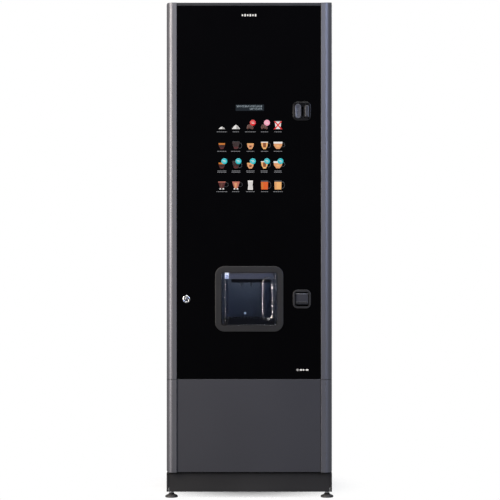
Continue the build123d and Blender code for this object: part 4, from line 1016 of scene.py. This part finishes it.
# ---- Cup station -----------------------------------------------------------------------------
@dataclass(frozen=True)
class ClearSheet:
    """Clear moulded sheet that lets light straight through and keeps its surface gloss.

    Args:
        name: Material name, for the real material and process.
        tint: sRGB colour of what is seen through it.
        facing: Share of gloss seen face on.
        roughness: Roughness of its surface.
        lift_mm: Height of the slow waves that moulding leaves.
    """

    name: str
    tint: str
    facing: float
    roughness: float
    lift_mm: float

    def material(self) -> bpy.types.Material:
        """Return this sheet's node material, made once.

        Returns:
            The material.
        """
        known = bpy.data.materials.get(self.name)
        if known:
            return known
        made = bpy.data.materials.new(self.name)
        made.use_nodes = True
        tree = made.node_tree
        tree.nodes.clear()
        place = add_node(tree, "ShaderNodeTexCoord")
        wave = add_node(tree, "ShaderNodeTexNoise", {"Scale": 1000 / 45, "Detail": 1.0},
                        {"Vector": (place, "Object")})
        scuff = add_node(tree, "ShaderNodeTexNoise", {"Scale": 1000 / 3, "Detail": 4.0},
                         {"Vector": (place, "Object")})
        bump = add_node(tree, "ShaderNodeBump", {"Strength": 1.0, "Distance": self.lift_mm * MM},
                        {"Height": (wave, "Fac")})
        rough = add_node(tree, "ShaderNodeMapRange", {"From Min": 0.35, "From Max": 0.75,
                                                      "To Min": self.roughness,
                                                      "To Max": self.roughness + 0.1},
                         {"Value": (scuff, "Fac")})
        gloss = add_node(tree, "ShaderNodeBsdfGlossy", {"Color": linear("ffffff")},
                         {"Roughness": (rough, "Result"), "Normal": (bump, "Normal")})
        through = add_node(tree, "ShaderNodeBsdfTransparent", {"Color": linear(self.tint)})
        rim = add_node(tree, "ShaderNodeFresnel", {"IOR": 1.58}, {"Normal": (bump, "Normal")})
        share = add_node(tree, "ShaderNodeMapRange",
                         {"From Min": 0.05, "From Max": 0.6, "To Min": self.facing,
                                                      "To Max": 0.9}, {"Value": (rim, "Fac")})
        both = add_node(tree, "ShaderNodeMixShader", links={0: (share, "Result"), 1: (through, "BSDF"),
                                                            2: (gloss, "BSDF")})
        add_node(tree, "ShaderNodeOutputMaterial", links={"Surface": (both, "Shader")})
        made.diffuse_color = linear(self.tint)
        return made


# Injection-moulded clear sheet: long soft waves bend its reflections.
CLEAR_SAN = ClearSheet("moulded clear SAN", "f0f3fa", 0.045, 0.04, 0.08)
# The pull is thicker, so less is seen through it and it keeps more gloss.
CLEAR_PULL = ClearSheet("moulded clear SAN, thick", "d9dee9", 0.045, 0.07, 0.03)
# Painted highlight: this lens glows by itself to stand in for the white reflection at the header's left end.
HIGHLIGHT_LENS_GLOW = Finish("diffusing polycarbonate lens, glowing as painted highlight", "d8dade", "c9ccd2", 0.3, 0.0, Grain.EVEN, 2.0, 0.05,
                   10, glow=1.1, lit="f4f6ff")
LAMP_STRIP = Finish("light-emitting strip under its cover", "c8ccd6", "b9bec9", 0.4, 0.0, Grain.EVEN, 4.0,
                    0.05, 20, glow=26.0, lit="dfe3ea")
# Painted light: the sensor lens is no lamp, but it glows by itself so that it looks lit.
SENSOR_LENS_PAINTED_GLOW = Finish("polished acrylic sensor lens", "c4ccd8", "aab4c4", 0.12, 0.0, Grain.EVEN, 1.0, 0.01, 5,
                     glow=0.5, lit="aebace")


@dataclass
class CupStation:
    """Clear door with its moulded pull, the header with spouts, the lamp strip, a glowing lens that is a
    painted highlight, and the cup sensor.
    """

    pull_x: float = 68.5
    pull_half: float = 23.0
    lens_span: Pair = (-90.0, -76.5)
    sensor: Pair = (-16.0, 677.0)
    header_drop: float = 26.0
    rail_drop: float = 13.0
    wall: float = 2.5
    spouts: tuple[float, ...] = (-28.0, 8.0, 44.0)
    ribs: tuple[Pair, ...] = ((-96.5, 3.5), (-82.5, 12.0), (96.5, 3.0))
    seal_size: Pair = (207.0, 197.0)
    seal_section: tuple[Pair, ...] = ((0.1, 0.0), (0.3, -0.9), (1.1, -1.1), (2.0, -0.8), (2.2, 0.0),
                                      (0.1, 0.0))

    def build(self) -> None:
        """Build every piece of the station."""
        self.leaf()
        self.header()
        self.lamp()
        self.seat_line()

    def leaf(self) -> None:
        """Mould the clear door: thin sheet with rolled edges, upright pull, ribs and two hinge pins."""
        low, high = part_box("cup_door")
        y_back = high.y
        y_front = y_back - 4.0 * MM
        centre = ((low.x + high.x) / 2, (low.z + high.z) / 2)
        height = high.z - low.z - 9.0 * MM
        width = high.x - low.x
        shape = Shape("cup_leaf")
        sheet = shape.steps(centre, (width, height), 9.5 * MM,
                            [(3.2 * MM, y_back), (0.4 * MM, y_back - 0.3 * MM), (0.0, y_back - 1.2 * MM),
                             (0.0, y_front + 1.6 * MM), (0.7 * MM, y_front + 0.5 * MM), (2.4 * MM, y_front),
                             (3.6 * MM, y_front + 0.1 * MM)], cap_first=True, cap_last=True)
        shape.paint(sheet, CLEAR_SAN.material())
        self.pull(shape, centre[1], height - 27.0 * MM, y_front)
        for x_mm, rib_width in self.ribs:
            half = rib_width / 2 * MM
            rib = shape.steps((x_mm * MM, centre[1]), (rib_width * MM, height - 12 * MM), half,
                              [(0.0, y_front + 0.3 * MM), (0.12 * half, y_front - 0.25 * MM),
                               (0.4 * half, y_front - 0.7 * MM), (0.8 * half, y_front - 0.95 * MM)],
                              cap_first=True, cap_last=True)
            shape.paint(rib, CLEAR_PULL.material())
        joints = frame["record"]["behaviour"]["joints"]
        hinge_x, hinge_y = next(joint["pos_m"] for joint in joints if joint["name"] == "cup_door_hinge")[:2]
        for z0, z1 in ((low.z, centre[1] - height / 2 + 4 * MM), (centre[1] + height / 2 - 4 * MM, high.z)):
            pin = shape.turned(Vector((hinge_x, hinge_y, 0)), Vector((0, 0, 1)),
                               [Vector((hinge_x, hinge_y, z0)), Vector((hinge_x + 1.2 * MM, hinge_y, z0)),
                                Vector((hinge_x + 1.5 * MM, hinge_y, z0 + 0.4 * MM)),
                                Vector((hinge_x + 1.5 * MM, hinge_y, z1)), Vector((hinge_x, hinge_y, z1))],
                               20)
            shape.paint(pin, CLEAR_PULL.material())
        shape.finish("cup_door", "clear_plastic", replaces=("cup_door",))

    def pull(self, shape: Shape, z: float, height: float, y: float) -> None:
        """Raise the pull: a long rounded rim whose two left-facing slopes catch the light.

        Args:
            shape: The leaf's shape.
            z: Middle of the pull.
            height: Its height.
            y: The leaf's front.
        """
        rim = y - 4.4 * MM
        left, right = (self.pull_x - self.pull_half) * MM, (self.pull_x + self.pull_half) * MM
        rows = ((0.0, 0.0, 0.0, y + 0.2 * MM), (1.2, 0.8, 1.0, y - 0.8 * MM), (5.6, 2.6, 3.4, rim + 0.5 * MM),
                (7.4, 3.2, 4.4, rim), (8.8, 3.8, 5.2, rim + 0.4 * MM), (10.4, 5.4, 7.0, y - 1.8 * MM),
                (11.4, 12.2, 11.6, y + 0.6 * MM), (12.4, 14.0, 12.6, y + 1.0 * MM))
        loops = []
        for in_left, in_right, in_end, depth in rows:
            x0, x1 = left + in_left * MM, right - in_right * MM
            size = (x1 - x0, height - 2 * in_end * MM)
            loops.append(shape.rounded_loop(((x0 + x1) / 2, z), size, size[0] * 0.49, depth, 10))
        shape.paint(shape.loft(loops, cap_first=True, cap_last=True), CLEAR_PULL.material())

    def header(self) -> None:
        """Build the grey header, the darker nozzle rail and the three spouts."""
        low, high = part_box("spout_cover")
        top = high.z
        shape = Shape("spout_header")
        depth = high.y - low.y
        block = shape.steps(((low.x + high.x) / 2, top - self.header_drop / 2 * MM),
                            (high.x - low.x, self.header_drop * MM), 2.2 * MM,
                            [(1.6 * MM, low.y), (0.5 * MM, low.y + 0.4 * MM), (0.0, low.y + 1.6 * MM),
                             (0.0, high.y)], cap_first=True, cap_last=True)
        shape.paint(block, HEADER_ABS.material())
        rail_z = top - (self.header_drop + self.rail_drop / 2) * MM
        rail = shape.steps(((low.x + high.x) / 2, rail_z + 0.5 * MM),
                           (high.x - low.x - 17 * MM, self.rail_drop * MM), 3.0 * MM,
                           [(1.2 * MM, low.y + 5 * MM), (0.0, low.y + 6.4 * MM),
                            (0.0, low.y + depth - 4 * MM)],
                           cap_first=True, cap_last=True)
        shape.paint(rail, GRILLE_ABS.material())
        y = low.y + 18 * MM
        for x_mm in self.spouts:
            x = x_mm * MM
            start = top - (self.header_drop + self.rail_drop - 1.0) * MM
            profile = [(3.0, 0.0), (5.0, 0.0), (5.0, -6.0), (4.2, -13.2), (3.6, -13.8), (3.0, -13.4),
                       (3.0, 0.0)]
            spout = shape.turned(Vector((x, y, 0)), Vector((0, 0, 1)),
                                 [Vector((x + r * MM, y, start + dz * MM)) for r, dz in profile], 28)
            shape.paint(spout, GREY_ABS.material())
        shape.finish("door", "header_plastic", replaces=("spout_cover",))

    def lamp(self) -> None:
        """Fit a lens beside the header, whose own glow is a painted highlight, and the strip that lights the
        chamber.
        """
        low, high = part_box("spout_cover")
        # The lens's glow is a painted highlight, not light from the strip.
        shape = Shape("glowing_highlight_lens")
        x0, x1 = (edge * MM for edge in self.lens_span)
        lens = shape.steps(((x0 + x1) / 2, high.z - 13 * MM), (x1 - x0, 24 * MM), 2.0 * MM,
                           [(1.2 * MM, low.y - 1 * MM), (0.3 * MM, low.y - 0.6 * MM), (0.0, low.y + 1 * MM),
                            (0.0, low.y + 20 * MM)], cap_first=True, cap_last=True)
        shape.paint(lens, HIGHLIGHT_LENS_GLOW.material())
        shape.finish("door", "clear_plastic")
        strip = Shape("chamber_lamp_strip")
        bar = strip.steps((0.0, high.z - 9 * MM), (150 * MM, 5 * MM), 2.0 * MM,
                          [(0.6 * MM, high.y + 3 * MM), (0.0, high.y + 4 * MM), (0.0, high.y + 10 * MM)],
                          cap_first=True, cap_last=True)
        strip.paint(bar, LAMP_STRIP.material())
        strip.finish("door", "clear_plastic")
        wall_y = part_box("cup_chamber")[1].y - self.wall * MM
        x, z = (place * MM for place in self.sensor)
        eye = Shape("cup_sensor")
        profile = [(0.0, -2.6), (1.6, -2.2), (2.6, -1.2), (3.1, -1.0), (4.2, -1.0), (4.6, -0.5), (4.6, 0.2),
                   (0.0, 0.2)]
        turned = eye.turned(Vector((x, wall_y, z)), Vector((0, 1, 0)),
                            [Vector((x + r * MM, wall_y + dy * MM, z)) for r, dy in profile], 32)
        # The lens's glow is painted light.
        eye.paint(turned, SENSOR_LENS_PAINTED_GLOW.material())
        eye.finish("door", "clear_plastic")

    def seat_line(self) -> None:
        """Lay the thin soft seal that the clear door closes on, inside the ring."""
        low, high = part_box("cup_bezel")
        centre = ((low.x + high.x) / 2, (low.z + high.z) / 2)
        width, height = (side * MM for side in self.seal_size)
        y = high.y - 1.0 * MM
        shape = Shape("cup_door_seal")
        shape.steps(centre, (width, height), 11 * MM,
                    [(inset * MM, y + rise * MM) for inset, rise in self.seal_section])
        bmesh.ops.remove_doubles(shape.bm, verts=shape.bm.verts, dist=1e-6)
        shape.paint(shape.bm.faces, SEAL_RUBBER.material())
        shape.finish("door", "seal_rubber")


# ---- Coin units and lock ---------------------------------------------------------------------
@dataclass
class CoinUnits:
    """Speckled coin insert, faceted reject lever and the moulded return flap."""

    insert_size: Pair = (21.5, 52.0)
    insert_x: float = 179.2

    def build(self) -> None:
        """Build the three pieces."""
        self.insert()
        self.lever()
        self.flap()

    def insert(self) -> None:
        """Set the grey insert beside the slot, rounded on its left."""
        low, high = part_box("coin_bezel")
        y = low.y + 1.0 * MM
        z = (low.z + high.z) / 2
        shape = Shape("coin_insert")
        width, height = (side * MM for side in self.insert_size)
        pad = shape.steps((self.insert_x * MM, z), (width, height), 9.5 * MM,
                          [(0.0, y + 0.3 * MM), (0.0, y - 0.3 * MM), (0.7 * MM, y - 0.85 * MM),
                           (2.4 * MM, y - 0.95 * MM), (3.0 * MM, y - 0.6 * MM)], cap_first=True,
                          cap_last=True)
        shape.paint(pad, INSERT_ABS.material())
        for row in range(5):
            rib = shape.steps((self.insert_x * MM, z + (row - 2) * 7.5 * MM), (11 * MM, 2.6 * MM), 1.2 * MM,
                              [(0.0, y - 0.55 * MM), (0.2 * MM, y - 0.8 * MM), (0.7 * MM, y - 0.95 * MM)],
                              cap_first=True, cap_last=True)
            shape.paint(rib, INSERT_ABS.material())
        shape.finish("door", "bezel_plastic")

    def lever(self) -> None:
        """Mould the reject lever with broad facets round a sunk finger pad."""
        low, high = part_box("reject_lever")
        front, width = low.y, 15.5 * MM
        x = (low.x + high.x) / 2
        centre = (x, (low.z + high.z) / 2)
        height = 45 * MM
        shape = Shape("reject_lever_face")
        body = shape.steps(centre, (width, height), 3.5 * MM,
                           [(0.0, high.y - 3 * MM), (0.0, front + 1.5 * MM), (0.4 * MM, front + 0.9 * MM),
                            (3.6 * MM, front + 0.2 * MM), (4.0 * MM, front), (4.6 * MM, front + 0.15 * MM),
                            (6.2 * MM, front + 0.6 * MM)], cap_first=True, cap_last=True, segments=5)
        shape.paint(body, GRILLE_ABS.material())
        flange = shape.steps(centre, (high.x - low.x, high.z - low.z), 1.0 * MM,
                             [(0.3 * MM, high.y - 3 * MM), (0.0, high.y - 2.6 * MM), (0.0, high.y)],
                             cap_first=True, cap_last=True, segments=5)
        shape.paint(flange, BLACK_ABS.material())
        shape.finish("reject_lever", "lever_plastic", replaces=("reject_lever",))

    def flap(self) -> None:
        """Mould the return flap with a rolled grip along its lower edge and two hinge pins."""
        low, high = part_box("return_flap")
        front, rear = low.y, high.y
        x = (low.x + high.x) / 2
        width = 46 * MM
        shape = Shape("return_flap_face")
        plate = shape.steps((x, (low.z + high.z) / 2), (width, high.z - low.z), 4 * MM,
                            [(0.8 * MM, rear), (0.0, rear - 0.5 * MM), (0.0, front + 1.3 * MM),
                             (0.5 * MM, front + 0.75 * MM), (1.5 * MM, front + 0.6 * MM)],
                            cap_first=True, cap_last=True)
        shape.paint(plate, FLAP_ABS.material())
        grip = shape.steps((x, low.z + 5.4 * MM), (width - 3 * MM, 9.0 * MM), 4.2 * MM,
                           [(0.0, front + 0.9 * MM), (0.4 * MM, front + 0.5 * MM),
                            (1.4 * MM, front + 0.1 * MM), (2.6 * MM, front), (3.4 * MM, front + 0.3 * MM)],
                           cap_first=True, cap_last=True)
        shape.paint(grip, GRILLE_ABS.material())
        pin_z = high.z - 2.5 * MM
        pin_y = (front + rear) / 2
        pin = shape.turned(Vector((0, pin_y, pin_z)), Vector((1, 0, 0)),
                           [Vector((low.x, pin_y, pin_z)), Vector((low.x, pin_y, pin_z + 1.2 * MM)),
                            Vector((low.x + 0.4 * MM, pin_y, pin_z + 1.5 * MM)),
                            Vector((high.x - 0.4 * MM, pin_y, pin_z + 1.5 * MM)),
                            Vector((high.x, pin_y, pin_z + 1.2 * MM)), Vector((high.x, pin_y, pin_z))], 20)
        shape.paint(pin, ZINC.material())
        shape.finish("return_flap", "flap_plastic", replaces=("return_flap",))


@dataclass
class LockFace:
    """Chrome ring with a rolled lip and a key way in the turning core."""

    def build(self) -> None:
        """Build the ring's lip and the key way."""
        low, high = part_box("lock_housing")
        x, z = (low.x + high.x) / 2, (low.z + high.z) / 2
        y = low.y
        lip = Shape("lock_lip")
        profile = [(8.3, 0.4), (8.8, -0.5), (9.8, -1.0), (11.4, -1.1), (12.8, -0.6), (13.5, 0.2), (13.5, 0.6),
                   (8.3, 0.6), (8.3, 0.4)]
        faces = lip.turned(Vector((x, y, z)), Vector((0, 1, 0)),
                           [Vector((x + r * MM, y + dy * MM, z)) for r, dy in profile], 56)
        lip.paint(faces, CHROME.material())
        lip.finish("door", "lock_chrome")
        core_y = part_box("lock_cylinder")[0].y
        plug = Shape("lock_key_way")
        face = plug.turned(Vector((x, core_y, z)), Vector((0, 1, 0)),
                           [Vector((x, core_y - 0.5 * MM, z)), Vector((x + 5.0 * MM, core_y - 0.5 * MM, z)),
                            Vector((x + 5.6 * MM, core_y - 0.2 * MM, z)),
                            Vector((x + 6.0 * MM, core_y + 0.1 * MM, z)), Vector((x, core_y + 0.1 * MM, z))],
                           40)
        plug.paint(face, BRASS.material())
        slot = plug.steps((x, z), (1.8 * MM, 7.6 * MM), 0.85 * MM,
                          [(0.0, core_y - 0.3 * MM), (0.1 * MM, core_y - 0.62 * MM),
                           (0.5 * MM, core_y - 0.62 * MM)],
                          cap_first=True, cap_last=True)
        plug.paint(slot, BLACK_ABS.material())
        plug.finish("lock_cylinder", "lock_brass")


# ---- Feet and inner units --------------------------------------------------------------------
@dataclass
class LevellingFoot:
    """Domed rubber pad on a plated stud with a hexagon to turn it by."""

    number: int
    turns: int = 8
    pitch: float = 2.0

    def build(self) -> None:
        """Turn the pad, the hexagon and the stud, and cut the stud's thread."""
        node = f"foot_{self.number}"
        low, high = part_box(node)
        x, y = (low.x + high.x) / 2, (low.y + high.y) / 2
        shape = Shape(f"{node}_levelling")
        reach = (high.x - low.x) / 2
        pad = shape.turned(Vector((x, y, 0)), Vector((0, 0, 1)), [
            Vector((x, y, 0.6 * MM)), Vector((x + reach - 5.0 * MM, y, 0.6 * MM)),
            Vector((x + reach - 4.2 * MM, y, 0.0)), Vector((x + reach - 1.0 * MM, y, 0.0)),
            Vector((x + reach, y, 1.2 * MM)), Vector((x + reach, y, 4.2 * MM)),
            Vector((x + reach - 1.4 * MM, y, 6.6 * MM)), Vector((x + reach - 6.0 * MM, y, 9.2 * MM)),
            Vector((x + reach - 11.0 * MM, y, 11.0 * MM)), Vector((x + reach - 13.2 * MM, y, 13.4 * MM)),
            Vector((x + reach - 14.0 * MM, y, 16.0 * MM)), Vector((x, y, 16.0 * MM))], 64)
        shape.paint(pad, FOOT_RUBBER.material())
        nut = bmesh.ops.create_cone(shape.bm, cap_ends=True, segments=6, radius1=8.8 * MM, radius2=8.8 * MM,
                                    depth=6 * MM, matrix=Matrix.Translation((x, y, 19.0 * MM)))
        edges = list({e for v in nut["verts"] for e in v.link_edges})
        soft = bmesh.ops.bevel(shape.bm, geom=edges, offset=0.5 * MM, offset_type="OFFSET", segments=2,
                               profile=0.5, affect="EDGES", material=-1)
        shape.paint([f for f in shape.bm.faces if f not in set(pad)] + soft["faces"], ZINC.material())
        self.stud(shape, x, y, 22.0 * MM, high.z)
        shape.finish(node, "foot_rubber", replaces=(node,))

    def stud(self, shape: Shape, x: float, y: float, start: float, end: float) -> None:
        """Turn the stud with the grooves of its thread.

        Args:
            shape: The foot's shape.
            x: Axis of the stud.
            y: Axis of the stud.
            start: Height of its lower end.
            end: Height of its upper end.
        """
        count = max(3, int((end - start) / (self.pitch * MM)))
        step = (end - start) / count
        profile = [Vector((x, y, start))]
        for turn in range(count):
            z = start + turn * step
            profile += [Vector((x + 5.2 * MM, y, z)), Vector((x + 5.9 * MM, y, z + step * 0.5))]
        profile += [Vector((x + 5.0 * MM, y, end)), Vector((x, y, end))]
        shape.paint(shape.turned(Vector((x, y, 0)), Vector((0, 0, 1)), profile, 24), ZINC.material())


@dataclass
class Auger:
    """Moulded dosing screw: a shaft, a helical blade and its driving disc."""

    number: int
    lead: float = 20.0
    blade: float = 1.6

    def build(self) -> None:
        """Sweep the blade round the shaft and turn the disc."""
        node = f"auger_{self.number}"
        low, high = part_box(node)
        x, z = (low.x + high.x) / 2, (low.z + high.z) / 2
        radius = min(high.x - low.x, high.z - low.z) / 2
        shape = Shape(f"{node}_screw")
        shaft = shape.turned(Vector((x, 0, z)), Vector((0, 1, 0)), [
            Vector((x, low.y + 0.2 * MM, z)), Vector((x + 3.2 * MM, low.y + 0.2 * MM, z)),
            Vector((x + 4.0 * MM, low.y + 1.2 * MM, z)), Vector((x + 4.0 * MM, high.y - 9.5 * MM, z)),
            Vector((x + 8.2 * MM, high.y - 9.3 * MM, z)), Vector((x + 9.0 * MM, high.y - 8.5 * MM, z)),
            Vector((x + 9.0 * MM, high.y - 1.0 * MM, z)), Vector((x + 8.2 * MM, high.y, z)),
            Vector((x, high.y, z))], 32)
        shape.paint(shaft, WHITE_PP.material())
        bm = shape.bm
        length = high.y - low.y - 20 * MM
        turns = length / (self.lead * MM)
        steps = int(turns * 28)
        y = low.y + 3 * MM
        half = self.blade / 2 * MM
        corners = [Vector((x + 3.0 * MM, y - half, z)), Vector((x + radius, y - half * 0.5, z)),
                   Vector((x + radius, y + half * 0.5, z)), Vector((x + 3.0 * MM, y + half, z))]
        face = shape.flat(corners, 0.0, 1)
        bmesh.ops.duplicate(bm, geom=[face])
        before = set(bm.faces)
        bmesh.ops.spin(bm, geom=[face], cent=(x, y, z), axis=(0, 1, 0), dvec=(0, length / steps, 0),
                       angle=turns * math.tau, steps=steps, use_merge=False)
        bmesh.ops.remove_doubles(bm, verts=bm.verts, dist=1e-6)
        shape.paint([f for f in bm.faces if f not in before], WHITE_PP.material())
        shape.finish(node, "white_plastic", replaces=(node,))


def main() -> None:
    """Build the studio and every sub-assembly in order."""
    logging.basicConfig(level=logging.INFO, format="%(name)s %(message)s")
    for part in (Studio(), SHELL, FRONT_UNITS, INSIDE, Selections(), Display(), PlainMarks(),
                 CupStation(), CoinUnits(), LockFace(),
                 *(LevellingFoot(number) for number in (1, 2, 3, 4)),
                 *(Auger(number) for number in (1, 2, 3))):
        part.build()


if __name__ == "__main__":
    main()
